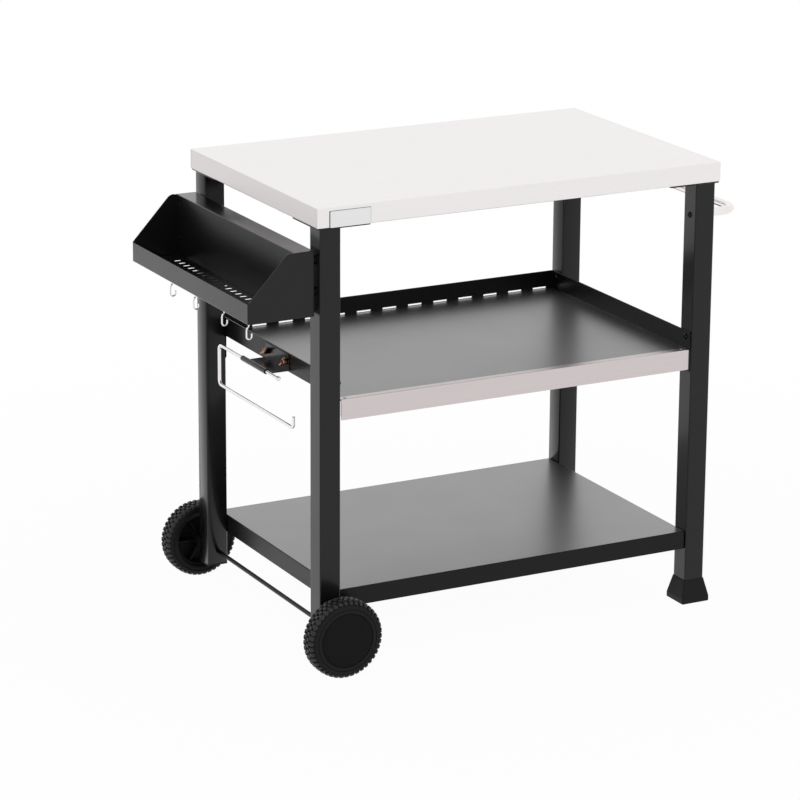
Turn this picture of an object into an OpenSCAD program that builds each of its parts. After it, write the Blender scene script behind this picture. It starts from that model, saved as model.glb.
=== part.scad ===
// Rolling grill cart with a stainless worktop, two shelves, a side basket, a towel rod,
// a push handle and two wheels.
// Front is -Y, the wheels and the basket are at -X, and +Z is up.
// The origin is on the floor, under the middle of the cart's outline.

/* [Worktop] */
// Length of the worktop, left to right
top_l = 812.8; // [790:0.1:1000]
// Depth of the worktop, front to back
top_d = 520.7; // [480:0.1:650]
// Height of the worktop's upper face above the floor
cart_h = 838.2; // [800:0.1:950]
// Height of the skirt round the worktop
skirt_h = 36; // [30:0.5:50]
// Sheet thickness of the worktop
top_sheet = 1.2; // [0.8:0.1:2]
// Width of the flange turned in under the skirt
top_flange = 35; // [28:0.5:45]
// Length of the bare label plate
label_l = 78; // [50:0.5:120]
// Height of the label plate
label_h = 29; // [15:0.5:30]
// Thickness of the label plate
label_t = 0.8; // [0.5:0.1:1.5]
// Gap from the worktop's left end to the label plate
label_inset = 24.5; // [10:0.5:100]

/* [Legs] */
// Width of the square leg tube
leg_w = 40; // [32:0.5:50]
// Wall of the leg tube
leg_wall = 1.5; // [1:0.1:2.5]
// Overhang of the worktop past the legs at each end
overhang_x = 7.625; // [2:0.005:12]
// Overhang of the worktop past the legs at front and back
overhang_y = 5; // [2:0.1:12]
// Size of the square corner plate on each leg
plate_w = 96; // [80:0.5:120]
// Thickness of the corner plates
plate_t = 2.5; // [1.5:0.1:4]
// Gap from the floor to the lower end of the left legs
left_leg_gap = 44; // [30:0.5:50]
// Thickness of the end plug's head under each left leg
plug_head = 3; // [2:0.5:5]
// Length of the end plug inside the leg
plug_len = 12; // [8:0.5:15]

/* [Feet] */
// Width of the square base of a foot
foot_w = 58; // [52:0.5:80]
// Height of the upright rim of a foot
foot_rim = 10; // [6:0.5:20]
// Height of a foot
foot_h = 44; // [30:0.5:60]
// Thickness of the foot under the leg
foot_floor = 6; // [3:0.5:8]
// Wall of the foot where it meets the leg
foot_wall = 1.6; // [1:0.1:3]

/* [Handle] */
// Reach of the handle from the leg to its outer edge
handle_reach = 67.4; // [62:0.1:120]
// Diameter of the handle tube
handle_dia = 16; // [13:0.5:20]
// Wall of the handle tube
handle_wall = 1.5; // [1:0.1:2]
// Drop from the worktop's upper face to the handle's centre
handle_drop = 98.2; // [80:0.1:140]
// Radius of the handle's bends, on the centre line
handle_bend = 30; // [20:0.5:40]
// Length of the threaded plugs inside the handle's ends
handle_plug = 16; // [12:0.5:20]

/* [Middle shelf] */
// Drop from the worktop's upper face to the middle shelf's floor
shelf_drop = 349.2; // [300:0.1:400]
// Height of the walls above the shelf's floor
shelf_wall = 34.5; // [31:0.5:60]
// Sheet thickness of both shelves
shelf_sheet = 1.2; // [0.8:0.1:2]
// Setback of the shelves from the legs' front and back faces
shelf_recess = 4.525; // [2:0.005:8]
// Depth of the turned-in hem along the walls' top
hem_h = 5.5; // [4:0.5:8]
// Drop of the shelf's ears below its floor
ear_drop = 43; // [36:0.5:60]
// Number of slots in the back wall
slot_count = 13; // [9:1:13]
// Distance from the back wall's end to the middle of its first slot
slot_end = 30.575; // [25:0.005:60]
// Length of a slot in the back wall
slot_l = 29.5; // [15:0.5:40]
// Height of a slot in the back wall
slot_h = 3; // [2.5:0.1:8]

/* [Front lip] */
// Height of the stainless lip's front face
lip_h = 38; // [32:0.5:60]
// Depth of the lip's flange on the shelf
lip_flange = 15; // [12:0.5:25]
// Sheet thickness of the lip
lip_sheet = 1.2; // [0.8:0.1:2]
// Gap at each end of the lip
lip_end_gap = 3.5; // [2:0.5:8]

/* [Bottom shelf] */
// Height of the bottom shelf's upper face above the floor
bottom_z = 140.3; // [120:0.1:200]
// Height of the bottom shelf's skirt
bottom_skirt = 34.3; // [26:0.1:50]

/* [Basket] */
// Depth of the basket, out from the legs
basket_d = 127; // [118:0.5:180]
// Height of the basket at its back
basket_h = 117; // [90:0.5:140]
// Drop from the worktop's upper face to the basket's top
basket_drop = 77.2; // [70:0.1:120]
// Height of the basket's front lip
basket_lip = 36; // [25:0.5:60]
// Sheet thickness of the basket
basket_sheet = 1; // [0.8:0.1:2]
// Width of the basket's flat top at the back
basket_top_w = 39; // [30:0.5:46]
// Setback of the basket's ends from the legs' outer faces
basket_end_inset = 10.875; // [2:0.005:14]
// Length of the spacers between the basket and the legs
basket_gap = 5; // [3:0.5:12]
// Length of a slot in the basket's floor
vent_l = 14; // [12:0.5:16]
// Width of a slot in the basket's floor
vent_w = 7.5; // [5:0.1:9]
// Distance between slots along a row
vent_pitch = 20; // [16:0.5:22]
// Distance between the rows of slots
vent_row_pitch = 23; // [19:0.5:24]

/* [Hooks] */
// Diameter of the hook wire
hook_wire = 3; // [2:0.1:3.4]
// Drop of a hook below the basket's floor
hook_drop = 43; // [36:0.5:60]

/* [Towel rod] */
// Diameter of the towel rod
rod_dia = 6; // [5:0.5:8]
// Wall of the sleeve round the rod
sleeve_wall = 1.9; // [1.2:0.1:3]
// Distance from the shelf's wall to the rod
rod_reach = 46; // [36:0.5:60]
// Length of the towel bracket along the shelf
bracket_l = 98; // [90:0.5:140]
// Place of the bracket's middle along the shelf
bracket_y = -4; // [-40:0.5:60]
// Length of the rod's upper bar
rod_top_l = 250; // [200:1:300]
// Length of the rod's lower bar
rod_low_l = 308; // [220:1:320]
// Distance between the upper and the lower bar
rod_drop = 75; // [50:0.5:120]
// Height of the upturned tip of the lower bar
rod_tip = 21; // [15:0.5:40]

/* [Wheels] */
// Diameter of a wheel
wheel_dia = 144; // [140:0.5:170]
// Width of a wheel
wheel_w = 40; // [38:0.5:50]
// Gap between a leg and the wheel beside it
wheel_gap = 28.5; // [24:0.5:45]
// Number of tread blocks round a row
tread_blocks = 42; // [24:1:48]
// Diameter of the axle
axle_dia = 8; // [6:0.5:10]
// Diameter of the hub cap
cap_dia = 113; // [104:0.5:116]

/* [Fasteners] */
// Diameter of the bolt shanks
bolt_dia = 6; // [4:0.5:6]
// Diameter of the bolt heads
head_dia = 11; // [9:0.5:14]
// Height of the bolt heads
head_h = 3; // [2:0.1:4]
// Distance across the flats of a nut
nut_w = 10; // [9:0.5:12]
// Height of a nut
nut_h = 5; // [4:0.5:6]

/* [Hidden] */

$fn = 64;

// Colours of the finishes
stainless = [0.80, 0.80, 0.81];
chrome = [0.86, 0.86, 0.88];
black_coat = [0.16, 0.16, 0.17];
black_plastic = [0.10, 0.10, 0.11];
dark_zinc = [0.30, 0.30, 0.32];
zinc = [0.62, 0.62, 0.64];
brass = [0.72, 0.42, 0.22];

// Clearance round a shaft or a bolt, and between faces that move past each other
fit_gap = 0.05;
run_gap = 0.3;
// Overrun of every cut past the face that it leaves
over = 1;

// Legs, worked out from the worktop
leg_mid_x = top_l / 2 - overhang_x - leg_w / 2;
leg_mid_y = top_d / 2 - overhang_y - leg_w / 2;
leg_out_x = leg_mid_x + leg_w / 2;
leg_in_x = leg_mid_x - leg_w / 2;
leg_out_y = leg_mid_y + leg_w / 2;
leg_in_y = leg_mid_y - leg_w / 2;
skirt_z = cart_h - skirt_h;
leg_top_z = skirt_z - plate_t;
left_leg_z = left_leg_gap + plug_head;
handle_z = cart_h - handle_drop;

// Screws of the corner plates, from the plate's inner edges and the worktop's edge
plate_screw_in = 22;
plate_screw_edge = 20;
plate_clip = 40;
screw_tip = 3;

// Shelves, held between the legs
shelf_z = cart_h - shelf_drop;
shelf_l = 2 * leg_in_x;
shelf_d = 2 * (leg_out_y - shelf_recess);
hem_bolt_gap = 1;
shelf_bolt_z = shelf_z + shelf_wall - hem_h - hem_bolt_gap - head_dia / 2;
ear_bolt_drop = 26;
ear_bolt_z = shelf_z - ear_bolt_drop;
bottom_bolt_z = bottom_z - bottom_skirt / 2;
ear_w = leg_w - shelf_recess;
slot_lift = 0.5;
slot_pitch = (shelf_l - 2 * slot_end) / (slot_count - 1);
flange_drop = 30;
rivet_in = 14;
rivet_dia = 3.2;
rivet_head_dia = 6.4;
rivet_head_h = 1.2;
rivet_tail_h = 2;
rivet_tail_dia = 4.8;

// Bolts
bolt_r = bolt_dia / 2;
bolt_tail = 2;
head_crown_share = 0.55;
head_rim_share = 0.35;
hex_key_w = 4;
hex_key_share = 0.6;

// Basket, measured out from its rear face
basket_rear_x = -(leg_out_x + basket_gap);
basket_l = 2 * (leg_out_y - basket_end_inset);
basket_z = cart_h - basket_drop - basket_h;
basket_land = 12.5;
basket_bolt_low = 43;
basket_bolt_in = 18;
basket_bolt_high = basket_h - basket_bolt_in;
vent_first_row = 53.3;
vent_rows = 3;
vent_edge = 28;
vent_count = 2 * floor((basket_l / 2 - vent_edge) / vent_pitch) + 2;
spacer_dia = 16;

// Hooks, each in a slot of the row nearest the lip, counted from the front
hook_slots = [1, 6, 12, 17];
hook_bend = 5;
hook_sway_bend = 2;
hook_sway_run = 0.5;
hook_arm = 14;
hook_tip = 5;
hook_neck = 16;
hook_r = hook_wire / 2;

// Towel rod and its bracket
rod_r = rod_dia / 2;
sleeve_r = rod_r + fit_gap + sleeve_wall;
bracket_sheet = 1.5;
bracket_h = 30;
bracket_lift = 2;
bracket_z = shelf_z + bracket_lift;
rod_z = bracket_z + sleeve_r;
rod_x = -(leg_in_x + rod_reach);
rod_bend = 9;
rod_front_out = 101;
rod_front_y = bracket_y - rod_front_out;
rod_back_y = rod_front_y + rod_top_l;
rod_swage_dia = 8;
rod_swage_l = 5;
towel_bolt_gap = 76;
towel_bolt_lift = 16;
towel_bolt_z = bracket_z + towel_bolt_lift;
wing_hub_dia = 11;
wing_hub_h = 7;
wing_l = 8;
wing_t = 2.2;
wing_dia = 9;
wing_turn = 45;

// Axle and wheels, measured out from the wheel's inner face
axle_r = axle_dia / 2;
wheel_r = wheel_dia / 2;
hub_dia = 26;
hub_out = 10;
hub_set = 12;
hub_end = wheel_w - hub_set;
web_in = 22;
web_t = 4;
rim_dia = 92;
rim_lip_dia = 102;
rim_lip_h = 6;
rib_count = 6;
rib_t = 3;
rib_set = 8;
cap_t = 2.5;
cap_ledge = 7;
cap_groove_share = 0.86;
cap_groove_w = 2.5;
cap_groove_d = 0.8;
cap_play = 0.2;
shoulder_r = 12;
tread_d = 3;
tread_groove = 2;
tread_slot = 3.2;
tread_row_shares = [0.06, 0.29, 0.50, 0.71, 0.94];
axle_spacer_dia = 14;
washer_dia = 18;
washer_t = 1.6;
axle_nut_w = 13;
axle_nut_h = 6.5;
axle_tail = 0.6;
axle_half = leg_out_y + wheel_gap + hub_end + run_gap + washer_t + axle_nut_h + axle_tail;

// Outline of the cart, which sets the origin
basket_front = leg_out_x + basket_gap + basket_d;
handle_front = leg_out_x + handle_reach;
frame_shift = (basket_front - handle_front) / 2;

// Places everything from the worktop's middle to the cart's own origin
module in_frame() {
    translate([frame_shift, 0, 0]) children();
}

// A cylinder along X, from the given point towards +X
module rod_along_x(r, l) {
    rotate([0, 90, 0]) cylinder(r = r, h = l);
}

// A cylinder along Y, from the given point towards +Y
module rod_along_y(r, l) {
    rotate([-90, 0, 0]) cylinder(r = r, h = l);
}

// A box centred in X and Y that stands on the given height
module standing_box(x, y, z) {
    translate([-x / 2, -y / 2, 0]) cube([x, y, z]);
}

// A bolt along +Z: its head under the origin, its shank above, with a key socket
module bolt(shank_l) {
    difference() {
        rotate([180, 0, 0]) rotate_extrude()
            polygon([
                [0, 0],
                [head_dia / 2, 0],
                [head_dia / 2, head_h * head_rim_share],
                [head_dia / 2 * head_crown_share, head_h],
                [0, head_h]
            ]);
        translate([0, 0, -head_h - over])
            cylinder(r = hex_key_w / sqrt(3), h = head_h * hex_key_share + over, $fn = 6);
    }
    cylinder(r = bolt_r, h = shank_l);
}

// A hexagonal nut on the origin
module hex_nut(width, height, bore_r) {
    difference() {
        cylinder(r = width / sqrt(3), h = height, $fn = 6);
        translate([0, 0, -over]) cylinder(r = bore_r + fit_gap, h = height + 2 * over);
    }
}

// A plain ring on the origin
module ring(outer_dia, bore_r, height) {
    difference() {
        cylinder(r = outer_dia / 2, h = height);
        translate([0, 0, -over]) cylinder(r = bore_r + fit_gap, h = height + 2 * over);
    }
}

// A quarter bend of wire or tube in the XY plane, from the +X axis to the +Y axis
module quarter_bend(bend_r, r, angle = 90) {
    rotate_extrude(angle = angle) translate([bend_r, 0]) circle(r = r);
}

// Worktop
module worktop() {
    color(stainless) in_frame() translate([0, 0, skirt_z]) difference() {
        standing_box(top_l, top_d, skirt_h);
        translate([0, 0, top_sheet])
            standing_box(top_l - 2 * top_sheet, top_d - 2 * top_sheet, skirt_h - 2 * top_sheet);
        translate([0, 0, -over])
            standing_box(top_l - 2 * top_flange, top_d - 2 * top_flange, top_sheet + 2 * over);
        for (sx = [-1, 1], sy = [-1, 1]) {
            plate_screw_places(sx, sy)
                translate([0, 0, -over]) cylinder(r = bolt_r + fit_gap, h = top_sheet + 2 * over);
        }
    }
}

// The two screw places of one corner, on each side of the leg
module plate_screw_places(sx, sy) {
    along = plate_w - plate_screw_in;
    translate([sx * (leg_out_x - along), sy * (top_d / 2 - plate_screw_edge), 0]) children();
    translate([sx * (top_l / 2 - plate_screw_edge), sy * (leg_out_y - along), 0]) children();
}

module label_plate() {
    color(stainless) in_frame()
        translate([label_inset - top_l / 2, -top_d / 2 - label_t, skirt_z])
            cube([label_l, label_t, label_h]);
}

module worktop_screws() {
    color(dark_zinc) in_frame() for (sx = [-1, 1], sy = [-1, 1]) {
        plate_screw_places(sx, sy)
            translate([0, 0, leg_top_z]) bolt(plate_t + top_sheet + screw_tip);
    }
}

// A corner plate, with its inner corner clipped
module corner_plate(sx, sy) {
    color(black_coat) in_frame() translate([0, 0, leg_top_z]) difference() {
        linear_extrude(plate_t) polygon([
            [sx * leg_out_x, sy * leg_out_y],
            [sx * (leg_out_x - plate_w), sy * leg_out_y],
            [sx * (leg_out_x - plate_w), sy * (leg_out_y - plate_w + plate_clip)],
            [sx * (leg_out_x - plate_w + plate_clip), sy * (leg_out_y - plate_w)],
            [sx * leg_out_x, sy * (leg_out_y - plate_w)]
        ]);
        plate_screw_places(sx, sy)
            translate([0, 0, -over]) cylinder(r = bolt_r + fit_gap, h = plate_t + 2 * over);
    }
}

// A square leg tube, with its bolt holes
module leg(sx, sy, bottom) {
    color(black_coat) in_frame() difference() {
        translate([sx * leg_mid_x, sy * leg_mid_y, bottom])
            standing_box(leg_w, leg_w, leg_top_z - bottom);
        translate([sx * leg_mid_x, sy * leg_mid_y, bottom - over])
            standing_box(leg_w - 2 * leg_wall, leg_w - 2 * leg_wall, leg_top_z - bottom + 2 * over);
        for (z = [shelf_bolt_z, ear_bolt_z, bottom_bolt_z])
            translate([sx * leg_mid_x, sy * leg_mid_y, z])
                rotate([0, -sx * 90, 0]) cylinder(r = bolt_r + fit_gap, h = leg_w / 2 + over);
        if (sx < 0) {
            for (z = [basket_bolt_low, basket_bolt_high])
                translate([-leg_out_x - over, sy * leg_mid_y, basket_z + z])
                    rod_along_x(bolt_r + fit_gap, leg_w + 2 * over);
            translate([-leg_mid_x, sy * leg_mid_y - leg_w / 2 - over, wheel_r])
                rod_along_y(axle_r + fit_gap, leg_w + 2 * over);
        } else {
            translate([leg_in_x - over, sy * leg_mid_y, handle_z])
                rod_along_x(bolt_r + fit_gap, leg_w + 2 * over);
        }
    }
}

// End plug of a left leg
module leg_plug(sy) {
    inside = leg_w - 2 * leg_wall - 2 * fit_gap;
    color(black_plastic) in_frame() translate([-leg_mid_x, sy * leg_mid_y, left_leg_gap]) {
        standing_box(leg_w, leg_w, plug_head);
        translate([0, 0, plug_head]) standing_box(inside, inside, plug_len);
    }
}

// Flared foot of a right leg
module foot(sy) {
    top_w = leg_w + 2 * foot_wall;
    color(black_plastic) in_frame() translate([leg_mid_x, sy * leg_mid_y, 0]) difference() {
        union() {
            standing_box(foot_w, foot_w, foot_rim);
            hull() {
                translate([0, 0, foot_rim - fit_gap]) standing_box(foot_w, foot_w, fit_gap);
                translate([0, 0, foot_h - fit_gap]) standing_box(top_w, top_w, fit_gap);
            }
        }
        translate([0, 0, foot_floor])
            standing_box(leg_w + 2 * fit_gap, leg_w + 2 * fit_gap, foot_h);
    }
}

// The handle's solid line at a given tube radius
module handle_line(r, extra) {
    bar_x = handle_front - handle_dia / 2;
    arm_l = bar_x - handle_bend - leg_out_x;
    bar_l = 2 * (leg_mid_y - handle_bend);
    for (sy = [-1, 1])
        translate([leg_out_x - extra, sy * leg_mid_y, 0]) rod_along_x(r, arm_l + extra);
    translate([bar_x, -bar_l / 2, 0]) rod_along_y(r, bar_l);
    translate([bar_x - handle_bend, bar_l / 2, 0]) quarter_bend(handle_bend, r);
    translate([bar_x - handle_bend, -bar_l / 2, 0])
        rotate([0, 0, -90]) quarter_bend(handle_bend, r);
}

module handle() {
    color(chrome) in_frame() translate([0, 0, handle_z]) difference() {
        handle_line(handle_dia / 2, 0);
        handle_line(handle_dia / 2 - handle_wall, over);
    }
}

module handle_plugs() {
    plug_r = handle_dia / 2 - handle_wall - fit_gap;
    color(zinc) in_frame() for (sy = [-1, 1])
        translate([leg_out_x, sy * leg_mid_y, handle_z])
            rotate([0, 90, 0]) ring(2 * plug_r, bolt_r, handle_plug);
}

module handle_screws() {
    color(dark_zinc) in_frame() for (sy = [-1, 1])
        translate([leg_in_x, sy * leg_mid_y, handle_z])
            rotate([0, 90, 0]) bolt(leg_w + handle_plug);
}

// Middle shelf
module middle_shelf() {
    wall_top = shelf_wall + shelf_sheet;
    color(black_coat) in_frame() difference() {
        union() {
            translate([0, 0, shelf_z - shelf_sheet]) {
                translate([-shelf_l / 2, -shelf_d / 2 + lip_sheet, 0])
                    cube([shelf_l, shelf_d - lip_sheet, shelf_sheet]);
                shelf_side(wall_top);
                mirror([1, 0, 0]) shelf_side(wall_top);
                translate([-shelf_l / 2, shelf_d / 2 - shelf_sheet, 0])
                    cube([shelf_l, shelf_sheet, wall_top]);
                translate([-shelf_l / 2, shelf_d / 2 - 2 * shelf_sheet, wall_top - hem_h])
                    cube([shelf_l, 2 * shelf_sheet, hem_h]);
            }
            translate([lip_end_gap - shelf_l / 2, lip_sheet - shelf_d / 2, shelf_z - flange_drop])
                cube([shelf_l - 2 * lip_end_gap, shelf_sheet, flange_drop]);
        }
        for (i = [0 : slot_count - 1])
            translate([(i - (slot_count - 1) / 2) * slot_pitch - slot_l / 2,
                       shelf_d / 2 - shelf_sheet - over, shelf_z + slot_lift])
                cube([slot_l, shelf_sheet + 2 * over, slot_h]);
        for (sx = [-1, 1], sy = [-1, 1], z = [shelf_bolt_z, ear_bolt_z])
            translate([sx * (shelf_l / 2 + over), sy * leg_mid_y, z])
                rotate([0, -sx * 90, 0])
                    cylinder(r = bolt_r + fit_gap, h = 2 * shelf_sheet + 2 * over);
        for (side = [-1, 1])
            translate([-shelf_l / 2 - over, bracket_y + side * towel_bolt_gap / 2, towel_bolt_z])
                rod_along_x(bolt_r + fit_gap, shelf_sheet + 2 * over);
        for (sx = [-1, 1])
            translate([sx * (shelf_l / 2 - rivet_in), lip_flange / 2 - shelf_d / 2,
                       shelf_z - shelf_sheet - over])
                cylinder(r = rivet_dia / 2 + fit_gap, h = shelf_sheet + 2 * over);
    }
}

// The right wall of the middle shelf, with its hem and its two ears
module shelf_side(wall_top) {
    translate([shelf_l / 2 - shelf_sheet, -shelf_d / 2, 0])
        cube([shelf_sheet, shelf_d, wall_top]);
    translate([shelf_l / 2 - 2 * shelf_sheet, -shelf_d / 2, wall_top - hem_h])
        cube([2 * shelf_sheet, shelf_d, hem_h]);
    for (y = [-shelf_d / 2, shelf_d / 2 - ear_w])
        translate([shelf_l / 2 - shelf_sheet, y, shelf_sheet - ear_drop])
            cube([shelf_sheet, ear_w, ear_drop]);
}

// Stainless lip along the front of the middle shelf
module shelf_lip() {
    lip_l = shelf_l - 2 * lip_end_gap;
    color(stainless) in_frame() difference() {
        translate([-lip_l / 2, -shelf_d / 2, 0]) {
            translate([0, 0, shelf_z + lip_sheet - lip_h]) cube([lip_l, lip_sheet, lip_h]);
            translate([0, 0, shelf_z]) cube([lip_l, lip_flange, lip_sheet]);
        }
        for (sx = [-1, 1])
            translate([sx * (shelf_l / 2 - rivet_in), lip_flange / 2 - shelf_d / 2, shelf_z - over])
                cylinder(r = rivet_dia / 2 + fit_gap, h = lip_sheet + 2 * over);
    }
}

module lip_rivets() {
    grip = lip_sheet + shelf_sheet;
    color(zinc) in_frame() for (sx = [-1, 1])
        translate([sx * (shelf_l / 2 - rivet_in), lip_flange / 2 - shelf_d / 2,
                   shelf_z - shelf_sheet]) {
            cylinder(r = rivet_dia / 2, h = grip);
            translate([0, 0, grip])
                cylinder(r1 = rivet_head_dia / 2, r2 = rivet_dia / 2, h = rivet_head_h);
            translate([0, 0, -rivet_tail_h]) cylinder(r = rivet_tail_dia / 2, h = rivet_tail_h);
        }
}

// Bottom shelf
module bottom_shelf() {
    color(black_coat) in_frame() translate([0, 0, bottom_z - bottom_skirt]) difference() {
        standing_box(shelf_l, shelf_d, bottom_skirt);
        translate([0, 0, -over])
            standing_box(shelf_l - 2 * shelf_sheet, shelf_d - 2 * shelf_sheet,
                         bottom_skirt - shelf_sheet + over);
        for (sx = [-1, 1], sy = [-1, 1])
            translate([sx * (shelf_l / 2 + over), sy * leg_mid_y, bottom_skirt / 2])
                rotate([0, -sx * 90, 0])
                    cylinder(r = bolt_r + fit_gap, h = shelf_sheet + 2 * over);
    }
}

// Places children at every shelf bolt, with +Z towards the leg
module shelf_bolt_places(from_wall) {
    for (sx = [-1, 1], sy = [-1, 1]) {
        translate([sx * (shelf_l / 2 + from_wall), sy * leg_mid_y, shelf_bolt_z])
            rotate([0, sx * 90, 0]) children();
        translate([sx * (shelf_l / 2 + from_wall), sy * leg_mid_y, ear_bolt_z])
            rotate([0, sx * 90, 0]) children();
        translate([sx * (shelf_l / 2 + from_wall), sy * leg_mid_y, bottom_bolt_z])
            rotate([0, sx * 90, 0]) children();
    }
}

module shelf_bolts() {
    color(dark_zinc) in_frame()
        shelf_bolt_places(-shelf_sheet) bolt(shelf_sheet + leg_wall + nut_h + bolt_tail);
}

module shelf_nuts() {
    color(zinc) in_frame() shelf_bolt_places(leg_wall) hex_nut(nut_w, nut_h, bolt_r);
}

// Basket. Its section runs out from the rear face, along the section's X
module basket() {
    end_x = basket_top_w + basket_land;
    color(black_coat) in_frame() translate([basket_rear_x, 0, basket_z]) difference() {
        union() {
            translate([-basket_d, 0, 0]) linear_extrude(basket_sheet) basket_floor();
            translate([-basket_d, -basket_l / 2, 0]) cube([basket_sheet, basket_l, basket_lip]);
            translate([-basket_top_w, -basket_l / 2, 0]) cube([basket_sheet, basket_l, basket_h]);
            translate([-basket_sheet, -basket_l / 2, 0]) cube([basket_sheet, basket_l, basket_h]);
            translate([-basket_top_w, -basket_l / 2, basket_h - basket_sheet])
                cube([basket_top_w, basket_l, basket_sheet]);
            for (y = [-basket_l / 2, basket_l / 2 - basket_sheet])
                translate([0, y + basket_sheet, 0]) rotate([90, 0, 0])
                    linear_extrude(basket_sheet) polygon([
                        [0, 0],
                        [0, basket_h],
                        [-end_x, basket_h],
                        [-basket_d, basket_lip],
                        [-basket_d, 0]
                    ]);
        }
        for (sy = [-1, 1], z = [basket_bolt_low, basket_bolt_high])
            translate([-basket_sheet - over, sy * leg_mid_y, z])
                rod_along_x(bolt_r + fit_gap, basket_sheet + 2 * over);
    }
}

// Plan of the basket's floor, with its rows of slots
module basket_floor() {
    difference() {
        translate([0, -basket_l / 2]) square([basket_d, basket_l]);
        for (row = [0 : vent_rows - 1], i = [0 : vent_count - 1])
            translate([basket_d - vent_x(row), vent_y(i)]) vent_shape();
    }
}

// A slot with round ends, along X
module vent_shape() {
    run = vent_l - vent_w;
    square([run, vent_w], center = true);
    for (side = [-1, 1]) translate([side * run / 2, 0]) circle(r = vent_w / 2);
}

// Distance of a row of slots from the basket's rear face
function vent_x(row) = vent_first_row + row * vent_row_pitch;

// Place of a slot along the basket
function vent_y(i) = (i - (vent_count - 1) / 2) * vent_pitch;

module basket_spacers() {
    color(dark_zinc) in_frame() for (sy = [-1, 1], z = [basket_bolt_low, basket_bolt_high])
        translate([basket_rear_x, sy * leg_mid_y, basket_z + z])
            rotate([0, 90, 0]) ring(spacer_dia, bolt_r, basket_gap);
}

// Bolts from the legs' inner faces into the nuts behind the basket's back
module basket_bolts() {
    shank = leg_w + basket_gap + basket_sheet + nut_h + bolt_tail;
    color(dark_zinc) in_frame() for (sy = [-1, 1], z = [basket_bolt_low, basket_bolt_high])
        translate([-leg_in_x, sy * leg_mid_y, basket_z + z]) rotate([0, -90, 0]) bolt(shank);
}

module basket_nuts() {
    color(zinc) in_frame() for (sy = [-1, 1], z = [basket_bolt_low, basket_bolt_high])
        translate([basket_rear_x - basket_sheet, sy * leg_mid_y, basket_z + z])
            rotate([0, -90, 0]) hex_nut(nut_w, nut_h, bolt_r);
}

// A wire hook that lies on the basket's floor, passes a slot and curls under it
module hook(number) {
    sway = 2 * hook_sway_bend + hook_sway_run;
    arm_z = basket_z + basket_sheet + run_gap + hook_r;
    low_z = basket_z - hook_drop + hook_r + hook_bend;
    neck_z = basket_z - hook_neck;
    flank_z = neck_z - 2 * hook_sway_bend;
    color(chrome) in_frame()
        translate([basket_rear_x - vent_x(vent_rows - 1), vent_y(hook_slots[number - 1]), 0]) {
            // arm on the floor, and the bend down to the slot
            translate([-hook_arm, 0, arm_z]) rod_along_x(hook_r, hook_arm - hook_bend);
            translate([-hook_bend, 0, arm_z - hook_bend])
                rotate([90, 0, 0]) quarter_bend(hook_bend, hook_r);
            // neck through the slot
            translate([0, 0, neck_z]) cylinder(r = hook_r, h = arm_z - hook_bend - neck_z);
            // sway to the outer side, in two short bends with a straight run between them
            translate([-hook_sway_bend, 0, neck_z]) rotate([90, 0, 0])
                rotate([0, 0, -90]) quarter_bend(hook_sway_bend, hook_r);
            translate([hook_sway_bend - sway, 0, neck_z - hook_sway_bend])
                rod_along_x(hook_r, hook_sway_run);
            translate([hook_sway_bend - sway, 0, flank_z]) rotate([90, 0, 0])
                rotate([0, 0, 90]) quarter_bend(hook_sway_bend, hook_r);
            // flank, lower curl and tip
            translate([-sway, 0, low_z]) cylinder(r = hook_r, h = flank_z - low_z);
            translate([hook_bend - sway, 0, low_z]) rotate([90, 0, 0])
                rotate([0, 0, 180]) quarter_bend(hook_bend, hook_r, 180);
            translate([2 * hook_bend - sway, 0, low_z]) cylinder(r = hook_r, h = hook_tip);
        }
}

// Towel bracket: a plate on the shelf's wall, a plate outwards and a rolled sleeve
module towel_bracket() {
    color(black_coat) in_frame() difference() {
        translate([-leg_in_x, bracket_y - bracket_l / 2, bracket_z]) {
            translate([-bracket_sheet, 0, 0]) cube([bracket_sheet, bracket_l, bracket_h]);
            translate([-rod_reach, 0, 0]) cube([rod_reach, bracket_l, bracket_sheet]);
            translate([-rod_reach, 0, sleeve_r]) rod_along_y(sleeve_r, bracket_l);
        }
        translate([rod_x, bracket_y - bracket_l / 2 - over, rod_z])
            rod_along_y(rod_r + fit_gap, bracket_l + 2 * over);
        for (side = [-1, 1])
            translate([-leg_in_x - bracket_sheet - over,
                       bracket_y + side * towel_bolt_gap / 2, towel_bolt_z])
                rod_along_x(bolt_r + fit_gap, bracket_sheet + 2 * over);
    }
}

// Towel rod: upper bar, back drop, lower bar and upturned tip
module towel_rod() {
    low_front_y = rod_back_y - rod_low_l;
    color(chrome) in_frame() translate([rod_x, 0, rod_z]) {
        translate([0, rod_front_y, 0]) rod_along_y(rod_r, rod_top_l - rod_bend);
        translate([0, rod_front_y, 0]) rod_along_y(rod_swage_dia / 2, rod_swage_l);
        translate([0, rod_back_y - rod_bend, -rod_bend])
            rotate([90, 0, 90]) quarter_bend(rod_bend, rod_r);
        translate([0, rod_back_y, rod_bend - rod_drop])
            cylinder(r = rod_r, h = rod_drop - 2 * rod_bend);
        translate([0, rod_back_y - rod_bend, rod_bend - rod_drop])
            rotate([90, 0, 90]) rotate([0, 0, -90]) quarter_bend(rod_bend, rod_r);
        translate([0, low_front_y + rod_bend, -rod_drop])
            rod_along_y(rod_r, rod_low_l - 2 * rod_bend);
        translate([0, low_front_y + rod_bend, rod_bend - rod_drop])
            rotate([90, 0, 90]) rotate([0, 0, 180]) quarter_bend(rod_bend, rod_r);
        translate([0, low_front_y, rod_bend - rod_drop])
            cylinder(r = rod_r, h = rod_tip - rod_bend);
    }
}

// Places children at both towel bolts, with +Z outwards
module towel_bolt_places(from_wall) {
    for (side = [-1, 1])
        translate([-leg_in_x - from_wall, bracket_y + side * towel_bolt_gap / 2, towel_bolt_z])
            rotate([0, -90, 0]) children();
}

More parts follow.
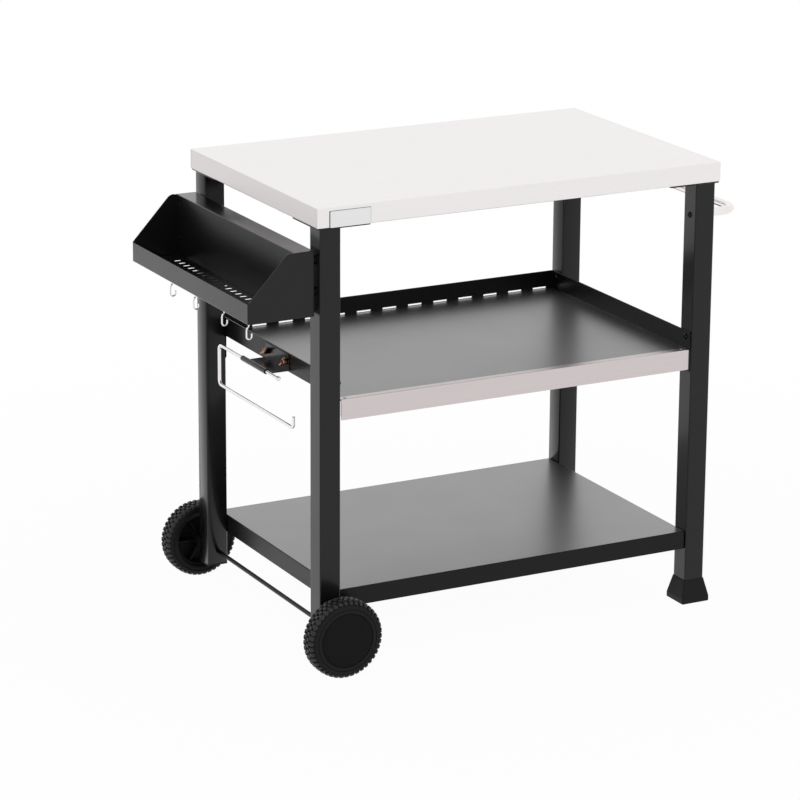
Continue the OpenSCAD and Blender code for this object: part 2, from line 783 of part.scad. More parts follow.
module towel_bolts() {
    color(brass) in_frame() towel_bolt_places(-shelf_sheet)
        bolt(shelf_sheet + bracket_sheet + wing_hub_h + bolt_tail);
}

module wing_nuts() {
    color(brass) in_frame() towel_bolt_places(bracket_sheet)
        rotate([0, 0, wing_turn]) difference() {
            union() {
                cylinder(r = wing_hub_dia / 2, h = wing_hub_h);
                for (side = [-1, 1]) {
                    translate([-wing_t / 2, side * wing_l / 2 - wing_l / 2, 0])
                        cube([wing_t, wing_l, wing_hub_h]);
                    translate([-wing_t / 2, side * wing_l, wing_hub_h])
                        rod_along_x(wing_dia / 2, wing_t);
                }
            }
            translate([0, 0, -over]) cylinder(r = bolt_r + fit_gap, h = wing_hub_h + wing_dia);
        }
}

module axle() {
    color(dark_zinc) in_frame() translate([-leg_mid_x, -axle_half, wheel_r])
        rod_along_y(axle_r, 2 * axle_half);
}

// Places children at a wheel's inner face, with +Z outwards along the axle
module wheel_place(sy) {
    translate([-leg_mid_x, sy * (leg_out_y + wheel_gap), wheel_r])
        rotate([-sy * 90, 0, 0]) children();
}

module axle_spacers() {
    spacer_l = wheel_gap - hub_out - run_gap;
    color(black_plastic) in_frame() for (sy = [-1, 1])
        wheel_place(sy) translate([0, 0, -wheel_gap]) ring(axle_spacer_dia, axle_r, spacer_l);
}

module axle_washers() {
    color(zinc) in_frame() for (sy = [-1, 1])
        wheel_place(sy) translate([0, 0, hub_end + run_gap]) ring(washer_dia, axle_r, washer_t);
}

module axle_nuts() {
    color(zinc) in_frame() for (sy = [-1, 1])
        wheel_place(sy) translate([0, 0, hub_end + run_gap + washer_t])
            hex_nut(axle_nut_w, axle_nut_h, axle_r);
}

// Half section of a wheel's tyre, rim, web and hub, with the width along Y
module wheel_section() {
    core = wheel_r - shoulder_r;
    // tyre with round shoulders
    translate([rim_dia / 2, 0]) square([core - rim_dia / 2, wheel_w - cap_t]);
    translate([cap_dia / 2 + cap_play, 0]) square([core - cap_dia / 2 - cap_play, wheel_w]);
    translate([core, shoulder_r]) square([shoulder_r, wheel_w - 2 * shoulder_r]);
    for (y = [shoulder_r, wheel_w - shoulder_r]) translate([core, y]) intersection() {
        circle(r = shoulder_r);
        translate([0, -shoulder_r]) square([shoulder_r, 2 * shoulder_r]);
    }
    // web and hub
    translate([hub_dia / 2 - over, web_in]) square([rim_dia / 2 - hub_dia / 2 + 2 * over, web_t]);
    translate([axle_r + fit_gap, -hub_out])
        square([hub_dia / 2 - axle_r - fit_gap, hub_end + hub_out]);
}

// Cavities of the rim: open at the inner side, closed by the cap at the outer side
module wheel_cavities() {
    translate([0, 0, -over]) cylinder(r = rim_lip_dia / 2, h = rim_lip_h + over);
    translate([0, 0, web_in + web_t]) cylinder(r = cap_dia / 2 - cap_ledge, h = wheel_w);
}

module wheel(sy) {
    color(black_plastic) in_frame() wheel_place(sy) union() {
        difference() {
            rotate_extrude() wheel_section();
            difference() {
                wheel_cavities();
                translate([0, 0, -wheel_w]) cylinder(r = hub_dia / 2, h = wheel_w + hub_end);
            }
            tread_cuts();
        }
        for (i = [0 : rib_count - 1]) rotate([0, 0, i * 360 / rib_count])
            translate([hub_dia / 2 - over, -rib_t / 2, rib_set])
                cube([rim_dia / 2 - hub_dia / 2 + 2 * over, rib_t, web_in - rib_set + over]);
    }
}

// Round grooves and cross slots that leave the tread's blocks
module tread_cuts() {
    row_gaps = [for (s = tread_row_shares) s * wheel_w];
    for (i = [1 : len(row_gaps) - 2])
        translate([0, 0, row_gaps[i] - tread_groove / 2]) difference() {
            cylinder(r = wheel_r + over, h = tread_groove);
            translate([0, 0, -over]) cylinder(r = wheel_r - tread_d, h = tread_groove + 2 * over);
        }
    for (i = [0 : len(row_gaps) - 2])
        translate([0, 0, row_gaps[i]]) linear_extrude(row_gaps[i + 1] - row_gaps[i])
            for (k = [0 : tread_blocks - 1])
                rotate([0, 0, (k + (i % 2) / 2) * 360 / tread_blocks])
                    translate([wheel_r - tread_d, -tread_slot / 2])
                        square([tread_d + over, tread_slot]);
}

module hub_cap(sy) {
    groove_r = cap_dia / 2 * cap_groove_share;
    color(black_plastic) in_frame() wheel_place(sy)
        translate([0, 0, wheel_w - cap_t]) difference() {
            cylinder(r = cap_dia / 2, h = cap_t);
            translate([0, 0, cap_t - cap_groove_d]) difference() {
                cylinder(r = groove_r + cap_groove_w / 2, h = cap_t);
                translate([0, 0, -over])
                    cylinder(r = groove_r - cap_groove_w / 2, h = cap_t + 2 * over);
            }
        }
}

worktop();
label_plate();
worktop_screws();
corner_plate(-1, -1);  // corner_plate_front_left
corner_plate(-1, 1);  // corner_plate_back_left
corner_plate(1, -1);  // corner_plate_front_right
corner_plate(1, 1);  // corner_plate_back_right
leg(-1, -1, left_leg_z);  // leg_front_left
leg(-1, 1, left_leg_z);  // leg_back_left
leg(1, -1, foot_floor);  // leg_front_right
leg(1, 1, foot_floor);  // leg_back_right
leg_plug(-1);  // leg_plug_front
leg_plug(1);  // leg_plug_back
foot(-1);  // foot_front
foot(1);  // foot_back
handle();
handle_plugs();
handle_screws();
middle_shelf();
shelf_lip();
lip_rivets();
bottom_shelf();
shelf_bolts();
shelf_nuts();
basket();
basket_spacers();
basket_bolts();
basket_nuts();
hook(1);  // hook_1
hook(2);  // hook_2
hook(3);  // hook_3
hook(4);  // hook_4
towel_bracket();
towel_rod();
towel_bolts();
wing_nuts();
axle();
axle_spacers();
axle_washers();
axle_nuts();
wheel(-1);  // wheel_front
wheel(1);  // wheel_back
hub_cap(-1);  // hub_cap_front
hub_cap(1);  // hub_cap_back
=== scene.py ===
"""A rolling grill cart: stainless worktop, black legs and shelves, side basket, hooks,
towel rod, push handle and two wheels. Lengths are in the cart's own millimetres,
measured from the middle of the worktop, and at() turns them into scene metres.
The main sizes are worked out from the frame, and the finer ones are named below."""
import math

import bmesh
import bpy
from mathutils import Matrix, Vector


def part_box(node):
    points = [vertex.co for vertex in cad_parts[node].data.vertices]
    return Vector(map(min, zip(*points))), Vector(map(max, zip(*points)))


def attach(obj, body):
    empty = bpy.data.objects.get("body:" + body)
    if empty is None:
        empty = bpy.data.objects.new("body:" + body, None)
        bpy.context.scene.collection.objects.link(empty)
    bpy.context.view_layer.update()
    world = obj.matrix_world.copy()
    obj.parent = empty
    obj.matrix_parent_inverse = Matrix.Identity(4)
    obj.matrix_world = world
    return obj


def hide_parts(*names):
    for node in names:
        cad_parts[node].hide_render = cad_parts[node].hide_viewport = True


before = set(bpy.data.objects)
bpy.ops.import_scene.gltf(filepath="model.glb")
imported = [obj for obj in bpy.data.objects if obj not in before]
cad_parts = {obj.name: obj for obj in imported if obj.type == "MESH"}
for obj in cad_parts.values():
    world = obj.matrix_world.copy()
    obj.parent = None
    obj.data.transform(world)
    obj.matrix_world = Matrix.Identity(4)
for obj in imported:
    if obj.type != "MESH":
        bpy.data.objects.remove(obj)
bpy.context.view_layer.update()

MM = 0.001
X, Y, Z = 0, 1, 2

# How far along X the middle of the worktop lies from the frame's own zero
SHIFT = round(sum(corner.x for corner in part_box("worktop")) / 2 / MM, 3)


def reach(node):
    """The lowest and the highest corner of a CAD node, in the cart's millimetres."""
    return [(round(corner.x / MM - SHIFT, 3), round(corner.y / MM, 3), round(corner.z / MM, 3))
            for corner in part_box(node)]


def halfway(node, way):
    """The middle of a CAD node along one way."""
    low, high = reach(node)
    return (low[way] + high[way]) / 2


# How far a cut runs past what it cuts, and the widths of broken edges
OVERRUN = 1.0
LABEL_BREAK, SHEET_BREAK, EAR_BREAK, BREAK, MOULD_BREAK = 0.12, 0.2, 0.25, 0.3, 0.5

# Worktop: sheet, flange under the skirt, folds, and the seams near its corners
(_, _, SKIRT_Z), (TOP_X, TOP_Y, TOP_Z) = reach("worktop")
TOP_SHEET, TOP_FLANGE, TOP_FOLD = 1.2, 35.0, 1.8
SEAM_IN, SEAM_DEPTH, SEAM_W = 4.4, 0.35, 0.5

# Label plate: corners, rim, the step inside the rim, and the dark strip round it that paints its
# shadow line
LABEL_CORNER, LABEL_RIM, LABEL_STEP, LABEL_SINK, LABEL_FACE = 1.6, 1.1, 0.35, 0.12, 0.25
SHADOW_LINE_LEFT, SHADOW_LINE_RIGHT, SHADOW_LINE_LOW, SHADOW_LINE_HIGH = 1.3, 0.5, 0.1, 0.6
SHADOW_LINE_FRONT, SHADOW_LINE_BACK = 0.4, 0.05

# Corner plates: how far inside the skirt they stay, their clipped corner and the others
PLATE_IN_X, PLATE_IN_Y, PLATE_CLIP, PLATE_CORNER = 1.4, 1.0, 40.0, 3.0

# Legs, their end plugs and the feet
(LEG_IN, _, _), (LEG_OUT, LEG_SIDE, _) = reach("leg_front_right")
LEG_X, LEG_Y = halfway("leg_front_right", X), -halfway("leg_front_right", Y)
LEG_CORNER, LEG_WALL = 2.6, 1.5
PLUG_PLAY, PLUG_ROUND = 0.05, 0.9
FOOT_RIM, FOOT_NECK, FOOT_WALL, FOOT_SINK = 10.0, 42.2, 1.0, 4.0
FOOT_CORNER, FOOT_ROUND = 2.8, 1.4

# Handle
HANDLE_BEND = 30.0

# Shelves: sheet, folds, hem, the slots of the back wall, the flange behind the lip, the ears
SHELF_SHEET, SHELF_PLAY = 1.2, 0.4
SHELF_Z = reach("shelf_lip")[1][Z] - SHELF_SHEET
LIP_X = reach("shelf_lip")[1][X]
(_, _, EAR_Z), (_, SHELF_Y, SHELF_TOP) = reach("middle_shelf")
TRAY_FOLD, PAN_FOLD, LIP_FOLD, LIP_HEM, HEM_H, HEM_ROUND = 1.8, 2.0, 1.6, 2.0, 5.5, 0.9
SLOT_L, SLOT_H, SLOT_LIFT, SLOT_ROUND, SLOT_COUNT, SLOT_STEP = 29.5, 3.0, 0.5, 1.2, 13, 54.7
FLANGE_H, EAR_ROUND = 30.0, 4.0

# Basket: sheet, flat top and its flange, lip of the slanted ends, folds, and slots in its floor
(BASKET_OUT, _, BASKET_LOW), (BASKET_REAR, BASKET_Y, BASKET_TOP) = reach("basket")
BASKET_SHEET, BASKET_FLANGE, BASKET_LAND, BASKET_LIP = 1.0, 39.0, 51.5, 36.0
BASKET_FOLD, BASKET_CORNER = 2.0, 6.5
VENT_L, VENT_W, VENT_COUNT, VENT_STEP = 14.0, 7.5, 22, 20.0
VENT_IN, VENT_ROWS, VENT_ROW_STEP, VENT_BELOW, VENT_ABOVE = 99.3, 3, 23.0, 2.0, 4.0
# how far the painted shade on the inner wall reaches, and how far below the top it stops
SHADED_WALL_DEPTH, SHADED_WALL_TRIM = 2.0, 2.5
HEAD_R, HEAD_FLAT, HEAD_SINK, HEAD_Y, HEAD_Z, HEAD_STEP = 2.7, 0.5, 0.1, 231.0, 683.0, 60.0

# Hooks hang in the outer row of slots: wire, bends, the lean of the neck, arm and tip
HOOK_X = BASKET_REAR - VENT_IN
HOOK_WIRE, HOOK_BEND, HOOK_SOFT_BEND, HOOK_PLAY = 1.5, 5.0, 8.0, 0.3
HOOK_LEAN, HOOK_LEAN_RUN, HOOK_ARM, HOOK_TIP = 40.0, 2.27, 14.0, 5.0
HOOK_NECK = BASKET_LOW - 16.0
HOOK_LOW = reach("hook_1")[0][Z] + HOOK_WIRE + HOOK_BEND

# Towel rod and its bracket, whose rolled sleeve holds the rod
SLEEVE_R, SLEEVE_ROLL, BRACKET_SHEET, BRACKET_FOLD, BRACKET_CORNER = 4.95, 318, 1.5, 2.0, 4.0
ROD_X, ROD_Z = halfway("towel_rod", X), reach("towel_bracket")[0][Z] + SLEEVE_R
ROD_R, ROD_BEND, ROD_START, ROD_TIP = 3.0, 9.0, -105.0, 12.0
SWAGE_R, SWAGE_L, SWAGE_TAPER = 4.0, 4.4, 0.6

# Wing nuts: barrel, collar, thread, and the pulls that draw a wing out, each with how far
# back and out it goes and how it scales the wing's end across and along
NUT_STEP = 76.0
NUT_X, NUT_Z = reach("wing_nuts")[1][X], halfway("wing_nuts", Z)
NUT_Y = halfway("wing_nuts", Y) - NUT_STEP / 2
NUT_R, NUT_H, NUT_SIZE, NUT_TURN, NUT_BACK_TURN, NUT_ROUND = 5.0, 6.0, 1.2, 45.0, -12.0, 0.35
COLLAR_EDGE, COLLAR_H, COLLAR_RING, THREAD_EDGE, THREAD_DEPTH = 0.8, 0.9, 0.9, 0.2, 2.0
WING_ROOT, WING_SIDE, WING_EDGE = 4.8, 4.0, 5.2
WING_PULLS = ((1.6, 2.6, 0.8, 0.85), (1.8, 1.9, 1.15, 0.9), (0.6, 1.3, 0.75, 0.8))

# Wheels, as radii from the axle and places out from the wheel's inner face
WHEEL_W, WHEEL_R, WHEEL_Z = 40.0, 72.0, halfway("wheel_front", Z)
WHEEL_IN = -reach("wheel_front")[0][Y] - WHEEL_W
SHOULDER, CARCASS, SIDEWALL = 12.0, 8.8, 11.3
BORE_R, HUB_R, HUB_LOW, HUB_HIGH, ROUND = 4.3, 13.0, -10.0, 28.0, 1.0
WEB_LOW, WEB_HIGH, RIM_R, RIM_EDGE_R, RIM_EDGE_Z = 22.0, 26.0, 46.0, 51.0, 6.0
LEDGE_R, LEDGE_Z, LEDGE_EDGE_R, SIDE_EDGE = 49.5, 37.4, 57.0, 65.3
PAD_COUNT, PAD_TURN, PAD_T, PAD_ROUND, CROWN_IN, CROWN_STEP = 42, 5.7, 4.0, 1.1, 1.0, 3.2
TREAD_TURN = 360.0 / PAD_COUNT
RIB_COUNT, RIB_T, RIB_LOW, RIB_OVER = 6, 3.0, 8.0, 0.5
WHEEL_SIDES, CAP_SIDES = 84, 96
AXLE = Vector((0, 1, 0))

# Hub cap: its rim, and the ring pressed into it as radii and depths below its face
CAP_R, CAP_T, CAP_RING = 56.5, 2.5, 50.3
CAP_STEPS = ((51.4, 0.0), (50.6, 0.3), (50.2, 1.0), (49.9, 1.6), (48.1, 1.6), (47.6, 1.1),
             (46.6, 0.3), (45.4, 0.0), (30.0, 0.0), (14.0, 0.0), (0.0, 0.0))

# Camera, lamps and floor, in metres, degrees and watts
CAMERA_PLACE = (-3.00648, -5.55768, 2.27337)
CAMERA_TURN, CAMERA_TILT, CAMERA_ROLL = -27.80623, 16.69298, 0.34933
CAMERA_LENS, CAMERA_SENSOR, CAMERA_END = 160.79, 36.0, 60.0
LAMPS = (("left_softbox", (-3.6, -2.2, 3.2), (0, 0, 0.45), 5.6, 78.0),
         ("front_softbox", (1.4, -4.2, 2.6), (0, 0, 0.45), 4.8, 36.0),
         ("top_softbox", (0.4, 0.9, 3.6), (0, 0, 0.6), 5.0, 30.0))
ROOM_LIGHT, ROOM_WHITE = 0.42, 1.0
FLOOR_SIZE, FLOOR_SINK, FLOOR_TONE, FLOOR_WHITE = 40, 0.0004, 0.82, 0.965
SHADOW_NEAR, SHADOW_FAR = 0.6, 2.2

# The range that a noise mostly keeps to, and the scales of the patterns in the finishes
NOISE_LOW, NOISE_HIGH = 0.3, 0.7
STEEL_FINE, STEEL_BROAD, STEEL_CLOUD = (2600.0, 14.0), (160.0, 2.2), 3.5
COAT_PEEL, COAT_SPECK, COAT_DRIFT = 620.0, 2600.0, 9.0
PLASTIC_GRAIN, PLASTIC_DRIFT = 1260.0, 26.0


# Modelling by hand

def at(x, y, z):
    """A place on the cart as scene metres."""
    return Vector(((x + SHIFT) * MM, y * MM, z * MM))


def by(x, y, z):
    """A move along the cart as scene metres."""
    return Vector((x * MM, y * MM, z * MM))


def middle(part):
    """The middle of a face, edge or corner, back in the cart's millimetres."""
    corners = part.verts if hasattr(part, "verts") else [part]
    spot = sum((corner.co for corner in corners), Vector()) / len(corners)
    return Vector((spot.x / MM - SHIFT, spot.y / MM, spot.z / MM))


def near(a, b, slack=0.05):
    return abs(a - b) < slack


def looks(face, way, side=1):
    """True if a face looks along that way, or against it if side is -1."""
    return face.normal[way] * side > 0.9


def runs(edge, axis):
    """True if an edge runs along that axis."""
    return abs((edge.verts[0].co - edge.verts[1].co).normalized()[axis]) > 0.99


def is_fold(edge):
    """True if two faces meet at that edge at a clear angle."""
    return len(edge.link_faces) == 2 and edge.calc_face_angle() > math.radians(50)


def is_open(edge):
    return len(edge.link_faces) == 1


def put_down():
    """Back to object mode with nothing selected."""
    if bpy.context.object and bpy.context.object.mode != "OBJECT":
        bpy.ops.object.mode_set(mode="OBJECT")
    bpy.ops.object.select_all(action="DESELECT")


def take(piece):
    put_down()
    piece.select_set(True)
    bpy.context.view_layer.objects.active = piece


def pick(piece, kind, wanted=lambda part: True):
    """In edit mode, selects only the faces, edges or corners that wanted accepts."""
    take(piece)
    bpy.ops.object.mode_set(mode="EDIT")
    bpy.ops.mesh.select_mode(type=kind)
    bpy.ops.mesh.select_all(action="DESELECT")
    mesh = bmesh.from_edit_mesh(piece.data)
    mesh.normal_update()
    parts = {"FACE": mesh.faces, "EDGE": mesh.edges, "VERT": mesh.verts}[kind]
    chosen = [part for part in parts if wanted(part)]
    for part in chosen:
        part.select_set(True)
    mesh.select_flush_mode()
    bmesh.update_edit_mesh(piece.data)
    return len(chosen)


def named(piece, name):
    piece.name = piece.data.name = name
    return piece


def settled(name):
    """The object just made, named, with its place and size applied to its mesh."""
    bpy.ops.object.transform_apply(location=True, rotation=True, scale=True)
    return named(bpy.context.object, name)


def block(name, low, high):
    """A block between two corners, ready to be shaped."""
    put_down()
    low, high = at(*low), at(*high)
    bpy.ops.mesh.primitive_cube_add(size=1, location=(low + high) / 2, scale=high - low)
    return settled(name)


def round_edges(piece, radius, wanted=is_fold, segments=4):
    """Rounds the chosen edges."""
    if pick(piece, "EDGE", wanted):
        bpy.ops.mesh.bevel(offset=radius * MM, segments=segments, affect="EDGES")


def cut_away(piece, wanted):
    pick(piece, "FACE", wanted)
    bpy.ops.mesh.delete(type="FACE")


def pull(move):
    """Extrudes what is selected."""
    bpy.ops.mesh.extrude_region_move(TRANSFORM_OT_translate={"value": move})


def inset(edge, lift=0.0):
    """Insets the selected faces by an edge, and lifts them."""
    bpy.ops.mesh.inset(thickness=edge * MM, depth=lift * MM)


def resize(size, centre):
    """Resizes what is selected about a place."""
    bpy.ops.transform.resize(value=size, center_override=centre)


def twist(degrees, axis, centre):
    """Turns what is selected about a place."""
    bpy.ops.transform.rotate(value=math.radians(degrees), orient_axis=axis,
                             center_override=centre)


def pave_lit(piece, finish, height, slack):
    """Gives the faces that look up from one height a finish of their own: here a lighter, shinier
    coat that paints light on the shelf floors.
    """
    piece.data.materials.append(finish)
    for face in piece.data.polygons:
        if looks(face, Z) and near(face.center.z / MM, height, slack):
            face.material_index = len(piece.data.materials) - 1


def apply(piece, kind, **settings):
    """Adds one modifier, sets it and applies it."""
    take(piece)
    step = piece.modifiers.new("step", kind)
    for setting, value in settings.items():
        setattr(step, setting, value)
    bpy.ops.object.modifier_apply(modifier=step.name)
    return piece


def thicken(piece, sheet, outwards=False):
    """Gives a folded skin its sheet thickness, inwards from its outer face."""
    return apply(piece, "SOLIDIFY", thickness=sheet * MM, offset=1 if outwards else -1,
                 use_even_offset=True)


def soften(piece, width):
    """Breaks the sharp edges."""
    return apply(piece, "BEVEL", width=width * MM, segments=2, limit_method="ANGLE",
                 angle_limit=math.radians(50))


def smooth(piece, angle=38):
    """Shades the rounds smooth and keeps the flats flat."""
    take(piece)
    bpy.ops.object.shade_smooth_by_angle(angle=math.radians(angle))
    return apply(piece, "WEIGHTED_NORMAL", keep_sharp=True)


def join(first, *others):
    take(first)
    for other in others:
        other.select_set(True)
    bpy.ops.object.join()
    return first


def tidy_faces(piece):
    """Merges doubled corners and turns every face outwards."""
    pick(piece, "VERT")
    bpy.ops.mesh.remove_doubles(threshold=0.01 * MM)
    bpy.ops.mesh.normals_make_consistent(inside=False)
    put_down()
    return piece


def carve(piece, cutter):
    """Cuts one shape out of another, and throws the cutter away."""
    apply(piece, "BOOLEAN", operation="DIFFERENCE", object=cutter, solver="EXACT")
    bpy.data.objects.remove(cutter)


def row(piece, count, step):
    """Repeats a piece along a straight row."""
    return apply(piece, "ARRAY", count=count, use_relative_offset=False,
                 use_constant_offset=True, constant_offset_displace=step)


def copied(piece, name, move=(0, 0, 0), flip=None):
    """A copy with its own mesh, moved along or mirrored across the cart's middle."""
    put_down()
    twin = piece.copy()
    twin.data = piece.data.copy()
    bpy.context.collection.objects.link(twin)
    named(twin, name)
    pick(twin, "VERT")
    if flip is not None:
        size = [1, 1, 1]
        size[flip] = -1
        resize(size, at(0, 0, 0))
        bpy.ops.mesh.flip_normals()
    bpy.ops.transform.translate(value=by(*move))
    put_down()
    return twin


def draw_line(name, points):
    """One line through points, ready to be spun or pulled."""
    put_down()
    bpy.ops.mesh.primitive_plane_add(size=MM, location=points[0])
    line = settled(name)
    pick(line, "VERT")
    bpy.ops.mesh.merge(type="CENTER")
    for before, after in zip(points, points[1:]):
        pull(after - before)
    return line


def spin(centre, axis, degrees, steps, repeat=False):
    """Spins what is selected round an axis, as a right-handed screw turns."""
    bpy.ops.mesh.spin(steps=steps, dupli=repeat, angle=-math.radians(degrees), center=centre,
                      axis=axis)


def bent_rod(name, start, radius, heading, route, sides):
    """Sweeps a round rod along a route of ("run", length), ("bend", towards, radius, degrees)
    and ("swell", factor)."""
    put_down()
    heading = Vector(heading)
    turned = Vector((0, 0, 1)).rotation_difference(heading).to_euler()
    bpy.ops.mesh.primitive_circle_add(vertices=sides, radius=radius * MM, fill_type="NOTHING",
                                      location=start, rotation=turned)
    rod = settled(name)
    pick(rod, "EDGE")
    spot = Vector(start)
    for step in route:
        if step[0] == "run":
            pull(heading * step[1] * MM)
            spot = spot + heading * step[1] * MM
        elif step[0] == "swell":
            pull((0, 0, 0))
            resize((step[1],) * 3, spot)
        else:
            towards, bend, degrees = Vector(step[1]), step[2] * MM, step[3]
            centre, axis = spot + towards * bend, heading.cross(towards)
            spin(centre, axis, degrees, max(4, round(degrees / 9)))
            turn = Matrix.Rotation(math.radians(degrees), 3, axis)
            spot, heading = centre + turn @ (spot - centre), turn @ heading
    pick(rod, "EDGE", is_open)
    bpy.ops.mesh.fill_holes(sides=0)
    tidy_faces(rod)
    round_edges(rod, radius * 0.28, is_fold, 3)
    return smooth(rod, 45)


# Finishes

class Wire:
    """The output of a node, which adds and multiplies as a number does."""

    def __init__(self, finish, socket):
        self.finish, self.socket = finish, socket

    def __add__(self, other):
        return self.finish.reckon("ADD", self, other)

    def __mul__(self, other):
        return self.finish.reckon("MULTIPLY", self, other)

    __radd__ = __add__
    __rmul__ = __mul__


class Finish:
    """A material, or the light of the room, mixed from nodes."""

    def __init__(self, owner):
        owner.use_nodes = True
        self.owner, self.nodes, self.links = owner, owner.node_tree.nodes, owner.node_tree.links
        self.nodes.clear()

    def node(self, kind, settings=None, output=0, **values):
        """One node: its settings first, then the values or wires of its sockets."""
        made = self.nodes.new("ShaderNode" + kind)
        for setting, value in (settings or {}).items():
            setattr(made, setting, value)
        for socket, value in values.items():
            place = int(socket[1:]) if socket[1:].isdigit() else socket.replace("_", " ")
            if isinstance(value, Wire):
                self.links.new(value.socket, made.inputs[place])
            else:
                made.inputs[place].default_value = value
        return Wire(self, made.outputs[output]) if made.outputs else None

    def reckon(self, kind, one, other):
        """One step of arithmetic between two wires or numbers."""
        return self.node("Math", {"operation": kind}, s0=one, s1=other)

    def spots(self, stretch):
        """The piece's own coordinates, stretched so that a pattern runs the way of its grain."""
        place = self.node("TexCoord", output="Object")
        return self.node("Mapping", s0=place, s3=stretch)

    def noise(self, scale, detail, roughness=0.5, stretch=(1, 1, 1)):
        return self.node("TexNoise", Vector=self.spots(stretch), Scale=scale, Detail=detail,
                         Roughness=roughness)

    def band(self, wire, start, end, low, high):
        """Brings a wire from the range start to end into the range low to high."""
        return self.node("MapRange", s0=wire, s1=start, s2=end, s3=low, s4=high)

    def blend(self, factor, one, other):
        """Mixes two colours."""
        return self.node("Mix", {"data_type": "RGBA"}, output=2, s0=factor, s6=one, s7=other)

    def bump(self, height, strength, depth):
        return self.node("Bump", Height=height, Strength=strength, Distance=depth)

    def surface(self, constants, **wires):
        """The shader and the output: constants on its own sockets, wires into the rest."""
        shader = self.node("BsdfPrincipled", **wires)
        for socket, value in constants.items():
            shader.socket.node.inputs[socket].default_value = value
        self.node("OutputMaterial", Surface=shader)
        return self.owner


def colour(red, green, blue):
    return (red, green, blue, 1.0)


def warm(red, blue, warmth):
    """A light grey that leans to red."""
    return colour(red, red * (1 - warmth), blue * (1 - warmth))


def cool(tone, grey, blue):
    """A dark grey that leans to blue, as shares of one tone."""
    return colour(tone * grey, tone * grey, tone * blue)


def drawn_out(grain, across, along):
    """A stretch that draws a pattern out along its grain."""
    return [across if way != grain else along for way in (X, Y, Z)]


def brushed_steel(name, grain, tone, warmth):
    """Stainless sheet with a fine grain along one way and faint broad streaks."""
    steel = Finish(bpy.data.materials.new(name))
    fine = steel.noise(1.0, 4.0, 0.65, drawn_out(grain, *STEEL_FINE))
    broad = steel.noise(1.0, 2.0, 0.5, drawn_out(grain, *STEEL_BROAD))
    cloud = steel.noise(STEEL_CLOUD, 2.0)
    worn = fine * 0.55 + broad * 0.3 + cloud * 0.15
    shade = steel.blend(worn, warm(tone - 0.08, tone - 0.075, warmth),
                        warm(tone + 0.09, tone + 0.088, warmth))
    gloss = steel.band(worn, NOISE_LOW, NOISE_HIGH, 0.24, 0.44)
    relief = steel.bump(fine, 0.10, 0.00004)
    return steel.surface({"Metallic": 1.0}, Base_Color=shade, Roughness=gloss, Normal=relief)


def powder_coat(name, tone, gloss, lacquer=0.16, depth=1.25, body=0.15):
    """Black powder coat: a fine orange peel, with a slight drift in tone and gloss.
    The lacquer over it has a roughness and a depth, and body is the shine below it."""
    coat = Finish(bpy.data.materials.new(name))
    peel = coat.noise(COAT_PEEL, 3.0, 0.55)
    speck = coat.noise(COAT_SPECK, 2.0)
    drift = coat.noise(COAT_DRIFT, 3.0)
    shade = coat.blend(drift * 0.6 + speck * 0.4, cool(tone, 0.8, 0.84), cool(tone, 1.25, 1.3))
    roughness = coat.band(drift * 0.7 + peel * 0.3, NOISE_LOW, NOISE_HIGH, *gloss)
    relief = coat.bump(peel * 0.7 + speck * 0.3, 0.16, 0.00012)
    return coat.surface({"Specular IOR Level": body, "Coat Weight": 1.0, "Coat IOR": depth,
                         "Coat Roughness": lacquer}, Base_Color=shade, Roughness=roughness,
                        Normal=relief)


def plated(name, low, high, gloss, ripple=0.03, scale=60.0):
    """A plated or polished metal with a slight drift in tone and gloss."""
    plate = Finish(bpy.data.materials.new(name))
    drift = plate.noise(scale, 3.0)
    haze = plate.noise(scale * 9, 2.0)
    shade = plate.blend(drift, colour(*low), colour(*high))
    roughness = plate.band(drift * 0.5 + haze * 0.5, NOISE_LOW, NOISE_HIGH, *gloss)
    relief = plate.bump(haze, ripple, 0.00005)
    return plate.surface({"Metallic": 1.0}, Base_Color=shade, Roughness=roughness,
                         Normal=relief)


def moulded(name, tone, gloss, shine=0.15):
    """Moulded plastic with a fine spark-eroded grain."""
    plastic = Finish(bpy.data.materials.new(name))
    grain = plastic.noise(PLASTIC_GRAIN, 3.0)
    drift = plastic.noise(PLASTIC_DRIFT, 3.0)
    shade = plastic.blend(drift, cool(tone, 0.8, 0.82), cool(tone, 1.3, 1.33))
    roughness = plastic.band(drift * 0.6 + grain * 0.4, NOISE_LOW, NOISE_HIGH, *gloss)
    relief = plastic.bump(grain, 0.25, 0.00015)
    return plastic.surface({"Specular IOR Level": shine}, Base_Color=shade,
                           Roughness=roughness, Normal=relief)


STEEL_LONG = brushed_steel("brushed_steel_lengthways", X, tone=0.86, warmth=0.035)
# the end skirts' copy of the steel: its grain runs across, and its lower tone is painted shade
SHADED_STEEL_CROSS = brushed_steel("brushed_steel_crossways_shaded", Y, tone=0.70, warmth=0.05)
LIP_STEEL = brushed_steel("front_lip_steel", X, tone=0.63, warmth=0.09)
LABEL_STEEL = brushed_steel("label_plate_steel", X, tone=0.80, warmth=0.0)
BLACK_COAT = powder_coat("black_powder_coat", tone=0.006, gloss=(0.30, 0.40))
TRAY_COAT = powder_coat("black_tray_coat", tone=0.006, gloss=(0.30, 0.38), lacquer=0.22,
                        depth=1.17, body=0.10)
# a lighter, shinier copy of the tray coat for the shelf floors: painted light and sheen from above
LIT_FLOOR_COAT = powder_coat("shelf_floor_lit_coat", tone=0.018, gloss=(0.40, 0.48), lacquer=0.31,
                         depth=2.30, body=0.30)
